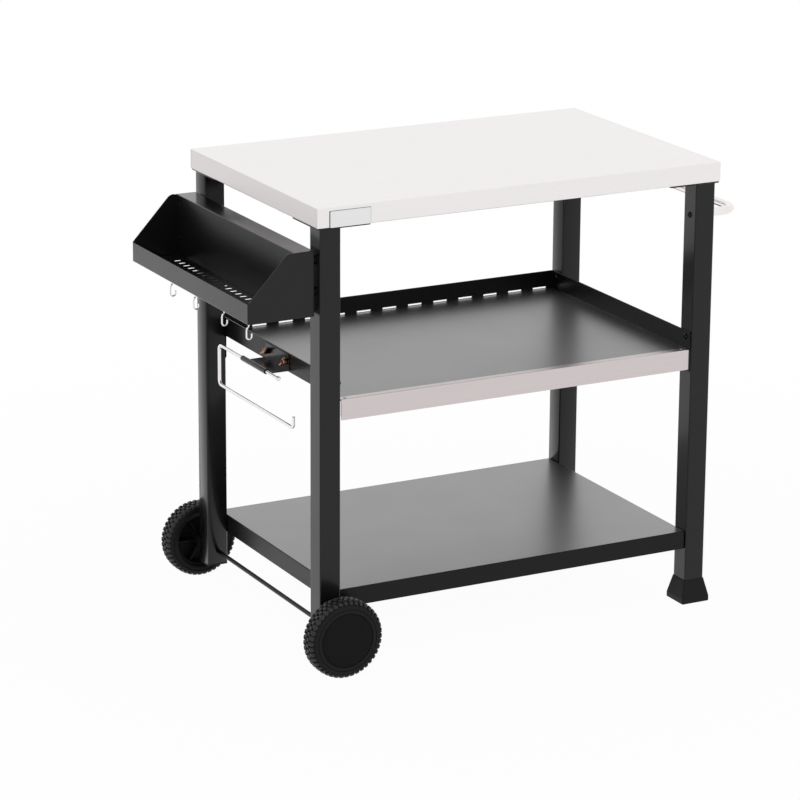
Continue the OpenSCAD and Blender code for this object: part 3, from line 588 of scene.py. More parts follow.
# a darker, duller copy of the basket's coat for its inner wall: painted shade
SHADED_INNER_COAT = powder_coat("basket_inner_shaded_coat", tone=0.005, gloss=(0.32, 0.42), lacquer=0.24,
                         depth=1.14, body=0.08)
CHROME = plated("chrome_plating", low=(0.78, 0.755, 0.745), high=(0.92, 0.895, 0.885),
                gloss=(0.02, 0.05))
ZINC = plated("zinc_plating", low=(0.50, 0.50, 0.51), high=(0.68, 0.68, 0.70),
              gloss=(0.28, 0.42), ripple=0.08, scale=150.0)
DARK_ZINC = plated("dark_bolt_plating", low=(0.010, 0.010, 0.011), high=(0.034, 0.034, 0.037),
                   gloss=(0.20, 0.32), ripple=0.08, scale=150.0)
BRASS = plated("wing_nut_brass", low=(0.36, 0.18, 0.11), high=(0.56, 0.32, 0.20),
               gloss=(0.24, 0.40), ripple=0.15, scale=130.0)
PLASTIC = moulded("black_foot_plastic", tone=0.008, gloss=(0.36, 0.50))
WHEEL_PLASTIC = moulded("black_wheel_plastic", tone=0.005, gloss=(0.46, 0.60), shine=0.10)
SIDE_PLASTIC = moulded("black_sidewall_plastic", tone=0.006, gloss=(0.44, 0.56), shine=0.17)
TYRE_PLASTIC = moulded("black_tyre_plastic", tone=0.009, gloss=(0.36, 0.48), shine=0.42)


def fit(piece, finish, slot, body, *nodes):
    """Dresses a finished piece, sets it on its body and lets it stand for its nodes. The slot is
    not used."""
    piece.data.materials.clear()
    piece.data.materials.append(finish)
    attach(piece, body)
    if nodes:
        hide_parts(*nodes)


def fit_pair(front, finish, slot, body, node):
    """Fits a front piece, and its mirror image as the back piece of the same name."""
    back = copied(front, front.name.replace("front", "back"), flip=Y)
    fit(back, finish, slot, body.replace("front", "back"), node.replace("front", "back"))
    fit(front, finish, slot, body, node)
    return back


# Worktop

def worktop():
    """Pan with its skirt turned in under it, and a seam near each corner of the end skirts."""
    pan = block("worktop_pan", (-TOP_X, -TOP_Y, SKIRT_Z), (TOP_X, TOP_Y, TOP_Z))
    pick(pan, "FACE", lambda face: looks(face, Z, -1))
    inset(TOP_FLANGE)
    bpy.ops.mesh.delete(type="FACE")
    round_edges(pan, TOP_FOLD)
    thicken(pan, TOP_SHEET)
    soften(pan, SHEET_BREAK)
    for side in (-1, 1):
        for end in (-1, 1):
            x, y = end * TOP_X, side * (TOP_Y - SEAM_IN)
            seam = block("seam", (x - SEAM_DEPTH, y - SEAM_W / 2, SKIRT_Z - OVERRUN),
                         (x + SEAM_DEPTH, y + SEAM_W / 2, TOP_Z - TOP_FOLD))
            carve(pan, seam)
    smooth(pan)
    fit(pan, STEEL_LONG, "stainless_steel", "cart", "worktop")
    # the end skirts are brushed the other way, and their darker tone is painted shade on the ends
    pan.data.materials.append(SHADED_STEEL_CROSS)
    for face in pan.data.polygons:
        face.material_index = 1 if abs(face.normal.x) > 0.7 else 0


def label_plate():
    """Bare bright plate with a raised rim, on a dark strip that shows round its edge as a painted
    shadow line.
    """
    low, high = reach("label_plate")
    plate = block("label_plate_bare", low, high)
    round_edges(plate, LABEL_CORNER, lambda edge: runs(edge, Y))
    pick(plate, "FACE", lambda face: looks(face, Y, -1))
    inset(LABEL_RIM)
    inset(LABEL_STEP, -LABEL_SINK)
    soften(plate, LABEL_BREAK)
    # a dark strip, wider to the left, that paints the plate's shadow line
    backing = block("backing",
                    (low[X] - SHADOW_LINE_LEFT, low[Y] + SHADOW_LINE_FRONT, low[Z] + SHADOW_LINE_LOW),
                    (high[X] + SHADOW_LINE_RIGHT, high[Y] + SHADOW_LINE_BACK, high[Z] + SHADOW_LINE_HIGH))
    round_edges(backing, LABEL_CORNER, lambda edge: runs(edge, Y))
    join(plate, backing)
    smooth(plate)
    fit(plate, LABEL_STEEL, "label_metal", "cart", "label_plate")
    # all that lies behind the bright face is dark: the painted shadow line round the plate
    plate.data.materials.append(DARK_ZINC)
    for face in plate.data.polygons:
        face.material_index = 1 if face.center.y / MM > low[Y] + LABEL_FACE else 0


def corner_plates():
    """Plates between the legs and the worktop, clipped at the corner that looks at the middle."""
    low, high = reach("corner_plate_front_left")
    plate = block("corner_plate_piece_front_left",
                  (PLATE_IN_X - TOP_X, PLATE_IN_Y - TOP_Y, low[Z]), high)
    round_edges(plate, PLATE_CLIP, lambda edge: runs(edge, Z) and near(middle(edge).x, high[X])
                and near(middle(edge).y, high[Y]), 1)
    round_edges(plate, PLATE_CORNER, lambda edge: runs(edge, Z) and is_fold(edge))
    soften(plate, BREAK)
    smooth(plate)
    across = copied(plate, "corner_plate_piece_front_right", flip=X)
    fit_pair(plate, BLACK_COAT, "black_powder_coat", "cart", "corner_plate_front_left")
    fit_pair(across, BLACK_COAT, "black_powder_coat", "cart", "corner_plate_front_right")


# Legs, feet and plugs

def leg(name, node):
    """Square tube, open at both ends."""
    tube = block(name, *reach(node))
    round_edges(tube, LEG_CORNER, lambda edge: runs(edge, Z))
    cut_away(tube, lambda face: looks(face, Z) or looks(face, Z, -1))
    thicken(tube, LEG_WALL)
    soften(tube, BREAK)
    return smooth(tube)


def legs():
    left = leg("leg_tube_front_left", "leg_front_left")
    right = leg("leg_tube_front_right", "leg_front_right")
    fit_pair(left, BLACK_COAT, "black_powder_coat", "cart", "leg_front_left")
    fit_pair(right, BLACK_COAT, "black_powder_coat", "cart", "leg_front_right")


def leg_plugs():
    """Plastic ends of the legs at the wheels: a head under the tube and a stem inside it."""
    low, (right, back, top) = reach("leg_plug_front")
    seat = reach("leg_front_left")[0][Z]
    plug = block("leg_end_plug_front", low, (right, back, seat))
    pick(plug, "FACE", lambda face: looks(face, Z))
    inset(LEG_WALL + PLUG_PLAY)
    pull(by(0, 0, top - seat))
    round_edges(plug, LEG_CORNER, lambda edge: runs(edge, Z) and middle(edge).z < seat)
    round_edges(plug, PLUG_ROUND,
                lambda edge: near(middle(edge).z, low[Z]) and is_fold(edge), 3)
    soften(plug, SHEET_BREAK)
    smooth(plug)
    fit_pair(plug, PLASTIC, "black_plastic", "cart", "leg_plug_front")


def feet():
    """Flared feet: an upright rim on the floor, drawn in to a neck round the leg."""
    low, (right, back, top) = reach("foot_front")
    foot = block("flared_foot_front", low, (right, back, FOOT_RIM))
    pick(foot, "FACE", lambda face: looks(face, Z))
    pull(by(0, 0, top - FOOT_RIM))
    neck = FOOT_NECK / (right - low[X])
    resize((neck, neck, 1), at(LEG_X, -LEG_Y, top))
    round_edges(foot, FOOT_CORNER, lambda edge: not near(edge.verts[0].co.z,
                                                         edge.verts[1].co.z, MM), 5)
    pick(foot, "FACE", lambda face: looks(face, Z))
    inset(FOOT_WALL)
    pull(by(0, 0, -FOOT_SINK))
    round_edges(foot, FOOT_ROUND, lambda edge: near(middle(edge).z, FOOT_RIM, 0.5), 3)
    round_edges(foot, FOOT_ROUND,
                lambda edge: near(middle(edge).z, low[Z], 0.2) and is_fold(edge), 3)
    soften(foot, MOULD_BREAK)
    smooth(foot, 45)
    fit_pair(foot, PLASTIC, "black_plastic", "cart", "foot_front")


# Handle

def handle():
    (_, _, low), (end, _, high) = reach("handle")
    radius = (high - low) / 2
    arm = end - radius - HANDLE_BEND - LEG_OUT
    grip = 2 * (LEG_Y - HANDLE_BEND)
    tube = bent_rod("push_handle", at(LEG_OUT, -LEG_Y, low + radius), radius, (1, 0, 0),
                    [("run", arm), ("bend", (0, 1, 0), HANDLE_BEND, 90), ("run", grip),
                     ("bend", (-1, 0, 0), HANDLE_BEND, 90), ("run", arm)], 40)
    fit(tube, CHROME, "chrome_plate", "cart", "handle")


# Shelves

def hem_walls(tray, top):
    """Turns the rim of the tray's walls in and down."""
    pick(tray, "EDGE", lambda edge: is_open(edge) and near(middle(edge).z, top))
    pull((0, 0, 0))
    resize(((LEG_IN - 2 * SHELF_SHEET) / LEG_IN, 1 - SHELF_SHEET / SHELF_Y, 1),
           at(0, -SHELF_Y, top))
    pull(by(0, 0, -HEM_H))
    round_edges(tray, HEM_ROUND, lambda edge: is_fold(edge) and near(middle(edge).z, top), 3)


def cut_slots(tray):
    """A row of level slots along the foot of the back wall."""
    first, low = -(SLOT_COUNT - 1) / 2 * SLOT_STEP, SHELF_Z + SLOT_LIFT
    slots = block("slots", (first - SLOT_L / 2, SHELF_Y - 2 * SHELF_SHEET, low),
                  (first + SLOT_L / 2, SHELF_Y + SHELF_SHEET, low + SLOT_H))
    round_edges(slots, SLOT_ROUND, lambda edge: runs(edge, Y), 3)
    row(slots, SLOT_COUNT, by(SLOT_STEP, 0, 0))
    carve(tray, slots)


def shelf_ear(side_x, side_y, top):
    """Strip that runs down a leg and takes the shelf's bolts."""
    x, inner_x = side_x * LEG_IN, side_x * (LEG_IN - SHELF_SHEET)
    y, inner_y = side_y * SHELF_Y, side_y * -LEG_SIDE
    ear = block("ear", (min(x, inner_x), min(y, inner_y), EAR_Z),
                (max(x, inner_x), max(y, inner_y), top))
    round_edges(ear, EAR_ROUND, lambda edge: runs(edge, X) and near(middle(edge).z, EAR_Z))
    return soften(ear, EAR_BREAK)


def middle_shelf():
    """Tray open at the front, with the flange behind its steel lip and four ears."""
    sheet, floor, under = SHELF_SHEET, SHELF_Z - SHELF_SHEET, SHELF_Z - SHELF_PLAY
    tray = block("middle_tray", (-LEG_IN, -SHELF_Y, floor), (LEG_IN, SHELF_Y, SHELF_TOP))
    cut_away(tray, lambda face: looks(face, Z) or looks(face, Y, -1))
    round_edges(tray, TRAY_FOLD)
    hem_walls(tray, SHELF_TOP)
    # the floor stops behind the steel lip
    pick(tray, "VERT", lambda spot: near(middle(spot).y, -SHELF_Y) and near(middle(spot).z, floor))
    bpy.ops.transform.translate(value=by(0, sheet, 0))
    thicken(tray, sheet)
    soften(tray, SHEET_BREAK)
    cut_slots(tray)
    flange = block("flange", (-LIP_X, sheet - SHELF_Y, SHELF_Z - FLANGE_H),
                   (LIP_X, 2 * sheet - SHELF_Y, under))
    soften(flange, BREAK)
    ears = [shelf_ear(side_x, side_y, under) for side_x in (-1, 1) for side_y in (-1, 1)]
    join(tray, flange, *ears)
    smooth(tray)
    fit(tray, TRAY_COAT, "black_powder_coat", "cart", "middle_shelf")
    # the floor gets the lighter, shinier coat: painted light from above
    pave_lit(tray, LIT_FLOOR_COAT, SHELF_Z, sheet / 2)


def steel_lip():
    """Folded strip along the front of the middle shelf, hemmed at its foot."""
    low, high = reach("shelf_lip")
    lip = block("steel_front_lip", low, high)
    cut_away(lip, lambda face: looks(face, Y) or looks(face, Z, -1) or looks(face, X)
             or looks(face, X, -1))
    round_edges(lip, LIP_FOLD)
    thicken(lip, SHELF_SHEET)
    round_edges(lip, LIP_HEM, lambda edge: runs(edge, Y) and near(middle(edge).z, low[Z]), 3)
    soften(lip, SHEET_BREAK)
    smooth(lip)
    fit(lip, LIP_STEEL, "stainless_steel", "cart", "shelf_lip")


def bottom_shelf():
    """Pan folded down all round."""
    low, high = reach("bottom_shelf")
    pan = block("bottom_pan", low, high)
    cut_away(pan, lambda face: looks(face, Z, -1))
    round_edges(pan, PAN_FOLD)
    thicken(pan, SHELF_SHEET)
    soften(pan, SHEET_BREAK)
    smooth(pan)
    fit(pan, TRAY_COAT, "black_powder_coat", "cart", "bottom_shelf")
    # the floor gets the lighter, shinier coat: painted light from above
    pave_lit(pan, LIT_FLOOR_COAT, high[Z], SHELF_SHEET / 2)


# Basket

def basket():
    """Tub with slanted ends, hung from a flat top along its back, and slots in its floor."""
    lip_z, land_x = BASKET_LOW + BASKET_LIP, BASKET_REAR - BASKET_LAND
    wall_x = BASKET_REAR - BASKET_FLANGE
    tub = block("side_basket", (BASKET_OUT, -BASKET_Y, BASKET_LOW),
                (BASKET_REAR, BASKET_Y, BASKET_TOP))
    # the slant, from the outer lip up to the flat top
    pick(tub, "FACE")
    slope = Vector((lip_z - BASKET_TOP, 0, land_x - BASKET_OUT)).normalized()
    bpy.ops.mesh.bisect(plane_co=at(BASKET_OUT, 0, lip_z), plane_no=slope, clear_outer=True,
                        use_fill=False)
    pick(tub, "FACE", lambda face: looks(face, Z))
    bpy.ops.mesh.bisect(plane_co=at(wall_x, 0, BASKET_TOP), plane_no=(1, 0, 0))
    cut_away(tub, lambda face: looks(face, Z) and middle(face).x < wall_x)
    pick(tub, "VERT", lambda spot: near(middle(spot).x, land_x)
         and near(middle(spot).z, BASKET_TOP))
    bpy.ops.mesh.bevel(offset=BASKET_CORNER * MM, segments=6, affect="VERTICES")
    # the inner wall, folded down from the flat top
    pick(tub, "EDGE", lambda edge: runs(edge, Y) and near(middle(edge).x, wall_x))
    pull(by(0, 0, BASKET_LOW + BASKET_SHEET - BASKET_TOP))
    shrink = (BASKET_Y - BASKET_SHEET / 2) / BASKET_Y
    resize((1, shrink, 1), at(wall_x, 0, BASKET_LOW))
    round_edges(tub, BASKET_FOLD)
    thicken(tub, BASKET_SHEET)
    soften(tub, BREAK)
    cut_vents(tub)
    smooth(tub)
    fit(tub, BLACK_COAT, "black_powder_coat", "cart", "basket")
    # the inner face of the back wall gets the darker, duller coat: painted shade inside the basket
    tub.data.materials.append(SHADED_INNER_COAT)
    for face in tub.data.polygons:
        inside = face.center.x > at(wall_x - SHADED_WALL_DEPTH, 0, 0).x and looks(face, X, -1)
        face.material_index = 1 if inside and face.center.z / MM < BASKET_TOP - SHADED_WALL_TRIM else 0
    wall_rivets(wall_x)


def cut_vents(tub):
    """Rows of round-ended slots through the basket's floor."""
    first = -(VENT_COUNT - 1) / 2 * VENT_STEP
    vents = block("vents", (HOOK_X - VENT_L / 2, first - VENT_W / 2, BASKET_LOW - VENT_BELOW),
                  (HOOK_X + VENT_L / 2, first + VENT_W / 2, BASKET_LOW + VENT_ABOVE))
    round_edges(vents, VENT_W / 2 - 0.01, lambda edge: runs(edge, Z), 5)
    row(vents, VENT_COUNT, by(0, VENT_STEP, 0))
    row(vents, VENT_ROWS, by(VENT_ROW_STEP, 0, 0))
    carve(tub, vents)


def wall_rivets(wall_x):
    """Domed heads that hold the basket's inner wall at its ends."""
    seat = at(wall_x, HEAD_Y, HEAD_Z)
    put_down()
    bpy.ops.mesh.primitive_uv_sphere_add(segments=20, ring_count=12, radius=HEAD_R * MM,
                                         location=seat)
    head = settled("inner_wall_heads")
    pick(head, "VERT")
    resize((HEAD_FLAT, 1, 1), seat)
    pick(head, "FACE")
    bpy.ops.mesh.bisect(plane_co=at(wall_x - HEAD_SINK, 0, 0), plane_no=(1, 0, 0),
                        clear_outer=True, use_fill=True)
    row(head, 2, by(0, 0, HEAD_STEP))
    row(head, 2, by(0, -2 * HEAD_Y, 0))
    tidy_faces(head)
    smooth(head, 60)
    fit(head, DARK_ZINC, "dark_fasteners", "cart")


def hooks():
    """Wire hooks: an arm on the basket's floor, a leaning neck and a round bottom."""
    falls = math.radians(HOOK_LEAN)
    tilt = Matrix.Rotation(falls, 3, "Y")
    shank = (HOOK_NECK - (HOOK_BEND + HOOK_SOFT_BEND) * math.sin(falls)
             - HOOK_LEAN_RUN * math.cos(falls) - HOOK_LOW)
    arm_z = BASKET_LOW + BASKET_SHEET + HOOK_PLAY + HOOK_WIRE
    route = [("run", HOOK_ARM - HOOK_BEND), ("bend", (0, 0, -1), HOOK_BEND, 90),
             ("run", arm_z - HOOK_BEND - HOOK_NECK), ("bend", (-1, 0, 0), HOOK_BEND, HOOK_LEAN),
             ("run", HOOK_LEAN_RUN),
             ("bend", tilt @ Vector((1, 0, 0)), HOOK_SOFT_BEND, HOOK_LEAN), ("run", shank),
             ("bend", (1, 0, 0), HOOK_BEND, 180), ("run", HOOK_TIP)]
    first_y = halfway("hook_1", Y)
    first = bent_rod("wire_hook_piece_1", at(HOOK_X - HOOK_ARM, first_y, arm_z), HOOK_WIRE,
                     (1, 0, 0), route, 16)
    for number in (2, 3, 4):
        twin = copied(first, "wire_hook_piece_%d" % number,
                      (0, halfway("hook_%d" % number, Y) - first_y, 0))
        fit(twin, CHROME, "chrome_plate", "wire_hook_%d" % number, "hook_%d" % number)
    fit(first, CHROME, "chrome_plate", "wire_hook_1", "hook_1")


# Towel rod

def towel_bracket():
    """Strip at the left end of the middle shelf, folded out and rolled into a sleeve."""
    (_, left, low), (_, right, high) = reach("towel_bracket")
    strip = draw_line("rolled_towel_bracket",
                      [at(-LEG_IN, left, high), at(-LEG_IN, left, low), at(ROD_X, left, low)])
    spin(at(ROD_X, left, ROD_Z), Vector((0, 1, 0)), SLEEVE_ROLL, 28)
    pick(strip, "EDGE")
    pull(by(0, right - left, 0))
    pick(strip, "FACE")
    bpy.ops.mesh.normals_make_consistent(inside=False)
    round_edges(strip, BRACKET_FOLD, lambda edge: runs(edge, Y) and near(middle(edge).x, -LEG_IN)
                and near(middle(edge).z, low))
    take(strip)
    web = next(face for face in strip.data.polygons if (looks(face, X) or looks(face, X, -1))
               and face.center.z / MM > ROD_Z + SLEEVE_R)
    thicken(strip, BRACKET_SHEET, outwards=web.normal.x < 0)
    round_edges(strip, BRACKET_CORNER, lambda edge: runs(edge, X) and near(middle(edge).z, high))
    soften(strip, BREAK)
    smooth(strip)
    fit(strip, BLACK_COAT, "black_powder_coat", "cart", "towel_bracket")


def towel_rod():
    """Rod with a swaged start: back along its sleeve, down, and forward as the bar, tip up."""
    (_, front, low), (_, back, _) = reach("towel_rod")
    sleeve = back - ROD_R - ROD_BEND - SWAGE_L - SWAGE_TAPER - ROD_START
    drop = ROD_Z - low - ROD_R - 2 * ROD_BEND
    bar = back - front - 2 * ROD_R - 2 * ROD_BEND
    rod = bent_rod("bent_towel_rod", at(ROD_X, ROD_START, ROD_Z), SWAGE_R, (0, 1, 0),
                   [("run", SWAGE_L), ("run", SWAGE_TAPER), ("swell", ROD_R / SWAGE_R),
                    ("run", sleeve), ("bend", (0, 0, -1), ROD_BEND, 90), ("run", drop),
                    ("bend", (0, -1, 0), ROD_BEND, 90), ("run", bar),
                    ("bend", (0, 0, 1), ROD_BEND, 90), ("run", ROD_TIP)], 24)
    fit(rod, CHROME, "chrome_plate", "rod", "towel_rod")


def draw_wing(nut, side):
    """Draws one wing out of the barrel's side, pull by pull."""
    pick(nut, "FACE", lambda face: looks(face, Y, side)
         and abs(middle(face).y - NUT_Y) > WING_SIDE)
    back, out = NUT_H / 2, WING_ROOT
    for further_back, further_out, across, along in WING_PULLS:
        back, out = back + further_back, out + further_out
        pull(by(-further_back, side * further_out, 0))
        resize((across, 1, along), at(NUT_X - back, NUT_Y + side * out, NUT_Z))


def wing_nuts():
    put_down()
    bpy.ops.mesh.primitive_cylinder_add(vertices=12, radius=NUT_R * MM, depth=NUT_H * MM,
                                        location=at(NUT_X - NUT_H / 2, NUT_Y, NUT_Z),
                                        rotation=(0, math.radians(90), 0))
    nut = settled("cast_wing_nut_front")
    # collar, drawn in towards the thread
    pick(nut, "FACE", lambda face: looks(face, X, -1))
    inset(COLLAR_EDGE, COLLAR_H)
    inset(COLLAR_RING)
    inset(THREAD_EDGE, -THREAD_DEPTH)
    for side in (-1, 1):
        draw_wing(nut, side)
    tidy_faces(nut)
    round_edges(nut, NUT_ROUND,
                lambda edge: is_fold(edge) and abs(middle(edge).y - NUT_Y) < WING_EDGE, 1)
    apply(nut, "SUBSURF", levels=2, render_levels=2)
    pick(nut, "VERT")
    seat = at(NUT_X, NUT_Y, NUT_Z)
    resize((NUT_SIZE,) * 3, seat)
    twist(NUT_TURN, "X", seat)
    smooth(nut, 60)
    twin = copied(nut, "cast_wing_nut_back", move=(0, NUT_STEP, 0))
    pick(twin, "VERT")
    twist(NUT_BACK_TURN, "X", at(NUT_X, NUT_Y + NUT_STEP, NUT_Z))
    fit(join(nut, twin), BRASS, "wing_nut_brass", "cart", "wing_nuts")


# Wheels

HUB = at(-LEG_X, 0, WHEEL_Z)


def section(outline):
    """Points of (radius from the axle, distance out from the wheel's inner face) as places."""
    return [at(-LEG_X + radius, -WHEEL_IN - along, WHEEL_Z) for radius, along in outline]


def lathed(name, outline, steps):
    """Turns a closed section round the axle."""
    points = section(outline)
    piece = draw_line(name, points + [points[0]])
    pick(piece, "VERT")
    spin(HUB, AXLE, 360, steps)
    return tidy_faces(piece)


def shoulder(radius, start, end, steps, outer):
    """Points round one shoulder of the tyre, from its crown (0) towards its side (90)."""
    points = []
    for step in range(steps + 1):
        angle = math.radians(start + (end - start) * step / steps)
        along = WHEEL_W - SHOULDER + radius * math.sin(angle)
        points.append((WHEEL_R - SHOULDER + radius * math.cos(angle),
                       along if outer else WHEEL_W - along))
    return points


def crown(start):
    """Points straight across the tread, from one place on."""
    return [(WHEEL_R, start + CROWN_STEP * step) for step in range(3)]


def wheel_outline():
    """Half section of tyre, rim, web and hub, as (radius, distance out from the inner face)."""
    tyre_out = shoulder(CARCASS, 0, 62, 5, True) + shoulder(SIDEWALL, 64, 84, 4, True)
    tyre_in = shoulder(SHOULDER, 86, 64, 4, False) + shoulder(CARCASS, 62, 0, 5, False)
    hub_out = [(BORE_R, HUB_LOW), (BORE_R, HUB_HIGH), (HUB_R - ROUND, HUB_HIGH),
               (HUB_R, HUB_HIGH - ROUND), (HUB_R, WEB_HIGH)]
    ledge = [(LEDGE_R, WEB_HIGH), (LEDGE_R, LEDGE_Z), (LEDGE_EDGE_R, LEDGE_Z)]
    side_out = [(57.0, 39.6), (57.2, 39.9), (59.4, 39.9), (60.2, 39.4)]
    middle_of_tread = [(WHEEL_R - SHOULDER + CARCASS, WHEEL_W / 2)]
    side_in = [(59.6, 1.2), (58.4, 0.1), (51.6, 0.1), (RIM_EDGE_R, 0.6)]
    rim = [(RIM_EDGE_R, RIM_EDGE_Z), (46.6, RIM_EDGE_Z), (RIM_R, 6.6), (RIM_R, WEB_LOW - ROUND),
           (RIM_R - ROUND, WEB_LOW)]
    hub_in = [(HUB_R + ROUND, WEB_LOW), (HUB_R, WEB_LOW - ROUND), (HUB_R, HUB_LOW + ROUND),
              (HUB_R - ROUND, HUB_LOW)]
    return (hub_out + ledge + side_out + tyre_out[::-1] + middle_of_tread + tyre_in[::-1]
            + side_in + rim + hub_in)


def looks_out(pad):
    """How far a pad's largest face looks away from the axle: below zero if it looks inwards."""
    largest = max(pad.data.polygons, key=lambda face: face.area)
    away = Vector((largest.center.x - HUB.x, 0, largest.center.z - HUB.z)).normalized()
    return largest.normal.dot(away)


def tread_pads(number, outline):
    """One ring of tread pads, with every other ring half a pad further round."""
    pad = draw_line("tread_%d" % number, section(outline))
    pick(pad, "VERT")
    spin(HUB, AXLE, PAD_TURN, 2)
    tidy_faces(pad)
    thicken(pad, PAD_T, outwards=looks_out(pad) < 0)
    tidy_faces(pad)
    soften(pad, PAD_ROUND)
    pick(pad, "VERT")
    twist(TREAD_TURN / 2 * (number % 2), "Y", HUB)
    pick(pad, "FACE")
    spin(HUB, AXLE, TREAD_TURN * (PAD_COUNT - 1), PAD_COUNT - 1, repeat=True)
    return pad


def wheel_rib(number):
    """One of the ribs between hub and rim on the wheel's inner side."""
    rib = block("rib", (-LEG_X + HUB_R - RIB_OVER, -WHEEL_IN - WEB_LOW - RIB_OVER,
                        WHEEL_Z - RIB_T / 2),
                (-LEG_X + RIM_R + RIB_OVER, -WHEEL_IN - RIB_LOW, WHEEL_Z + RIB_T / 2))
    soften(rib, MOULD_BREAK)
    pick(rib, "VERT")
    twist(360 / RIB_COUNT * number, "Y", HUB)
    return rib


def paint_rim(piece):
    """Gives the sidewall a duller plastic than the tread, and all within the cap's ring
    the dullest."""
    piece.data.materials.append(SIDE_PLASTIC)
    piece.data.materials.append(WHEEL_PLASTIC)
    for face in piece.data.polygons:
        away = math.hypot(face.center.x - HUB.x, face.center.z - HUB.z)
        face.material_index = (away < SIDE_EDGE * MM) + (away < CAP_RING * MM)


def wheel():
    """Moulded wheel with five rings of tread pads, and its twin at the back."""
    tyre = lathed("wheel_piece_front", wheel_outline(), WHEEL_SIDES)
    rings = (shoulder(SHOULDER, 8, 61, 4, True), crown(WHEEL_W / 2 + CROWN_IN),
             crown(WHEEL_W / 2 - CROWN_IN - 2 * CROWN_STEP), shoulder(SHOULDER, 61, 8, 4, False),
             shoulder(SHOULDER, 66, 82, 3, True))
    parts = [tread_pads(number, outline) for number, outline in enumerate(rings)]
    parts += [wheel_rib(number) for number in range(RIB_COUNT)]
    join(tyre, *parts)
    smooth(tyre, 40)
    back = fit_pair(tyre, TYRE_PLASTIC, "wheel_plastic", "front_wheel", "wheel_front")
    paint_rim(tyre)
    paint_rim(back)


def hub_cap():
    """Flat cap with a ring pressed into it, flush with the wheel's outer face."""
    low, face = WHEEL_W - CAP_T, WHEEL_W
    rim = [(0, low), (CAP_R - 0.6, low), (CAP_R, low + 0.5), (CAP_R, face - 0.7),
           (CAP_R - 0.2, face - 0.2), (CAP_R - 0.8, face)]
    outline = rim + [(radius, face - depth) for radius, depth in CAP_STEPS]
    cap = lathed("hub_cap_piece_front", outline, CAP_SIDES)
    smooth(cap, 40)
    back = fit_pair(cap, TYRE_PLASTIC, "wheel_plastic", "front_wheel", "hub_cap_front")
    paint_rim(cap)
    paint_rim(back)


# Pieces kept from the CAD

def kept_pieces():
    """Gives every CAD piece the finish that goes with its material."""
    finishes = {"black_powder_coat": BLACK_COAT, "black_plastic": PLASTIC, "zinc_plate": ZINC,
                "dark_fasteners": DARK_ZINC, "stainless_steel": STEEL_LONG,
                "chrome_plate": CHROME, "wheel_plastic": WHEEL_PLASTIC,
                "wing_nut_brass": BRASS, "label_metal": LABEL_STEEL}
    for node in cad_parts.values():
        for holder in node.material_slots:
            known = holder.material.name.split(".")[0] if holder.material else ""
            holder.material = finishes.get(known, BLACK_COAT)


# Camera, room and floor

def set_camera():
    """Stands the camera where the photograph was taken."""
    turn, tilt, roll = (math.radians(angle) for angle in (CAMERA_TURN, CAMERA_TILT, CAMERA_ROLL))
    ahead = Vector((-math.sin(turn) * math.cos(tilt), math.cos(turn) * math.cos(tilt),
                    -math.sin(tilt)))
    level = ahead.cross(Vector((0, 0, 1))).normalized()
    over = level.cross(ahead)
    right = level * math.cos(roll) + over * math.sin(roll)
    up = over * math.cos(roll) - level * math.sin(roll)
    view = bpy.data.cameras.new("camera")
    view.lens, view.sensor_width, view.clip_end = CAMERA_LENS, CAMERA_SENSOR, CAMERA_END
    stand = bpy.data.objects.new("camera", view)
    bpy.context.collection.objects.link(stand)
    turned = Matrix((right, up, -ahead)).transposed().to_4x4()
    stand.matrix_world = Matrix.Translation(CAMERA_PLACE) @ turned
    bpy.context.scene.camera = stand


def seen_or_mirrored(paint):
    """1 where the camera, a reflection or clear glass looks, 0 for plain light."""
    rays = paint.node("LightPath", output="Is Camera Ray").socket.node
    return paint.reckon("MAXIMUM", Wire(paint, rays.outputs["Is Camera Ray"]),
                        paint.reckon("MAXIMUM", Wire(paint, rays.outputs["Is Glossy Ray"]),
                                     Wire(paint, rays.outputs["Is Transmission Ray"])))


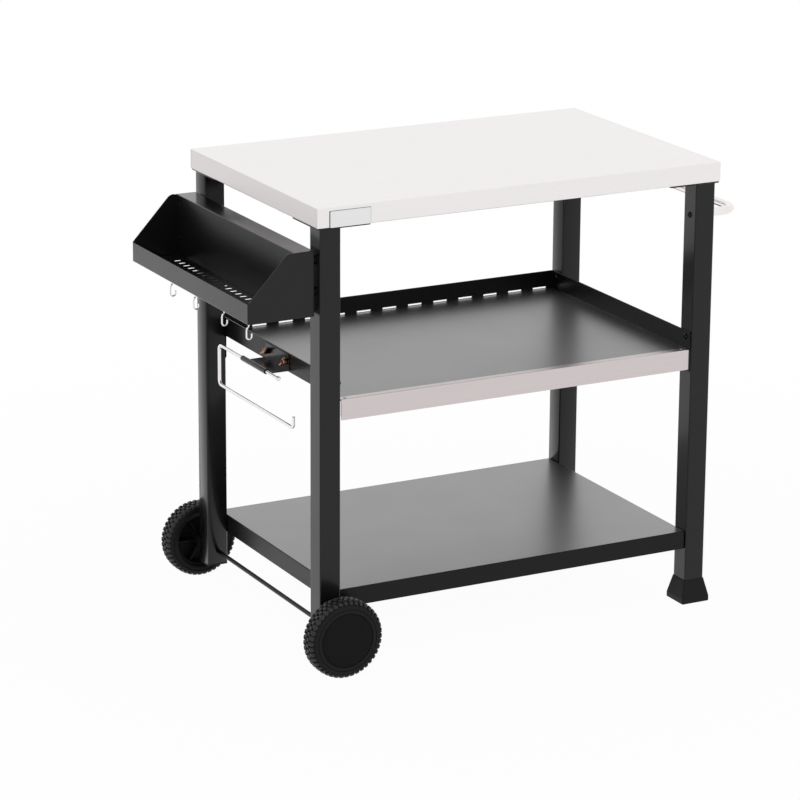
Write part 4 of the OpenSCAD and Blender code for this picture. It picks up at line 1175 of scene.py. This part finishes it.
def light_room():
    """A white room that gives off less light than it shows."""
    world = bpy.data.worlds.new("studio")
    bpy.context.scene.world = world
    paint = Finish(world)
    soft = paint.node("Background", s0=colour(1, 1, 1), s1=ROOM_LIGHT)
    white = paint.node("Background", s0=colour(1, 1, 1), s1=ROOM_WHITE)
    mixed = paint.node("MixShader", s0=seen_or_mirrored(paint), s1=soft, s2=white)
    paint.node("OutputWorld", Surface=mixed)


def hang_lamps():
    """Broad lamps that light the cart but show neither to the camera nor in the steel."""
    for name, place, aim, size, power in LAMPS:
        lamp = bpy.data.lights.new(name, "AREA")
        lamp.size, lamp.energy = size, power
        stand = bpy.data.objects.new(name, lamp)
        bpy.context.collection.objects.link(stand)
        stand.location = place
        stand.visible_camera = stand.visible_glossy = False
        stand.rotation_euler = (Vector(aim) - Vector(place)).to_track_quat("-Z", "Y").to_euler()


def lay_floor():
    """A pale floor that keeps the cart's shadow, and goes white away from it."""
    put_down()
    bpy.ops.mesh.primitive_plane_add(size=FLOOR_SIZE, location=(0, 0, -FLOOR_SINK))
    floor = named(bpy.context.object, "studio_floor")
    paint = Finish(bpy.data.materials.new("white_floor"))
    soft = paint.node("BsdfDiffuse", Color=colour(FLOOR_TONE, FLOOR_TONE, FLOOR_TONE))
    white = paint.node("Emission", Color=colour(1, 1, 1), Strength=1.0)
    place = paint.node("TexCoord", output="Object")
    away = paint.node("VectorMath", {"operation": "LENGTH"}, output=1, s0=place)
    share = seen_or_mirrored(paint) * paint.band(away, SHADOW_NEAR, SHADOW_FAR, FLOOR_WHITE, 1.0)
    paint.node("OutputMaterial", Surface=paint.node("MixShader", s0=share, s1=soft, s2=white))
    floor.data.materials.append(paint.owner)


set_camera()
worktop()
label_plate()
corner_plates()
legs()
leg_plugs()
feet()
handle()
middle_shelf()
steel_lip()
bottom_shelf()
basket()
hooks()
towel_bracket()
towel_rod()
wing_nuts()
wheel()
hub_cap()
kept_pieces()
put_down()
light_room()
hang_lamps()
lay_floor()

bpy.context.scene.view_settings.view_transform = "Standard"
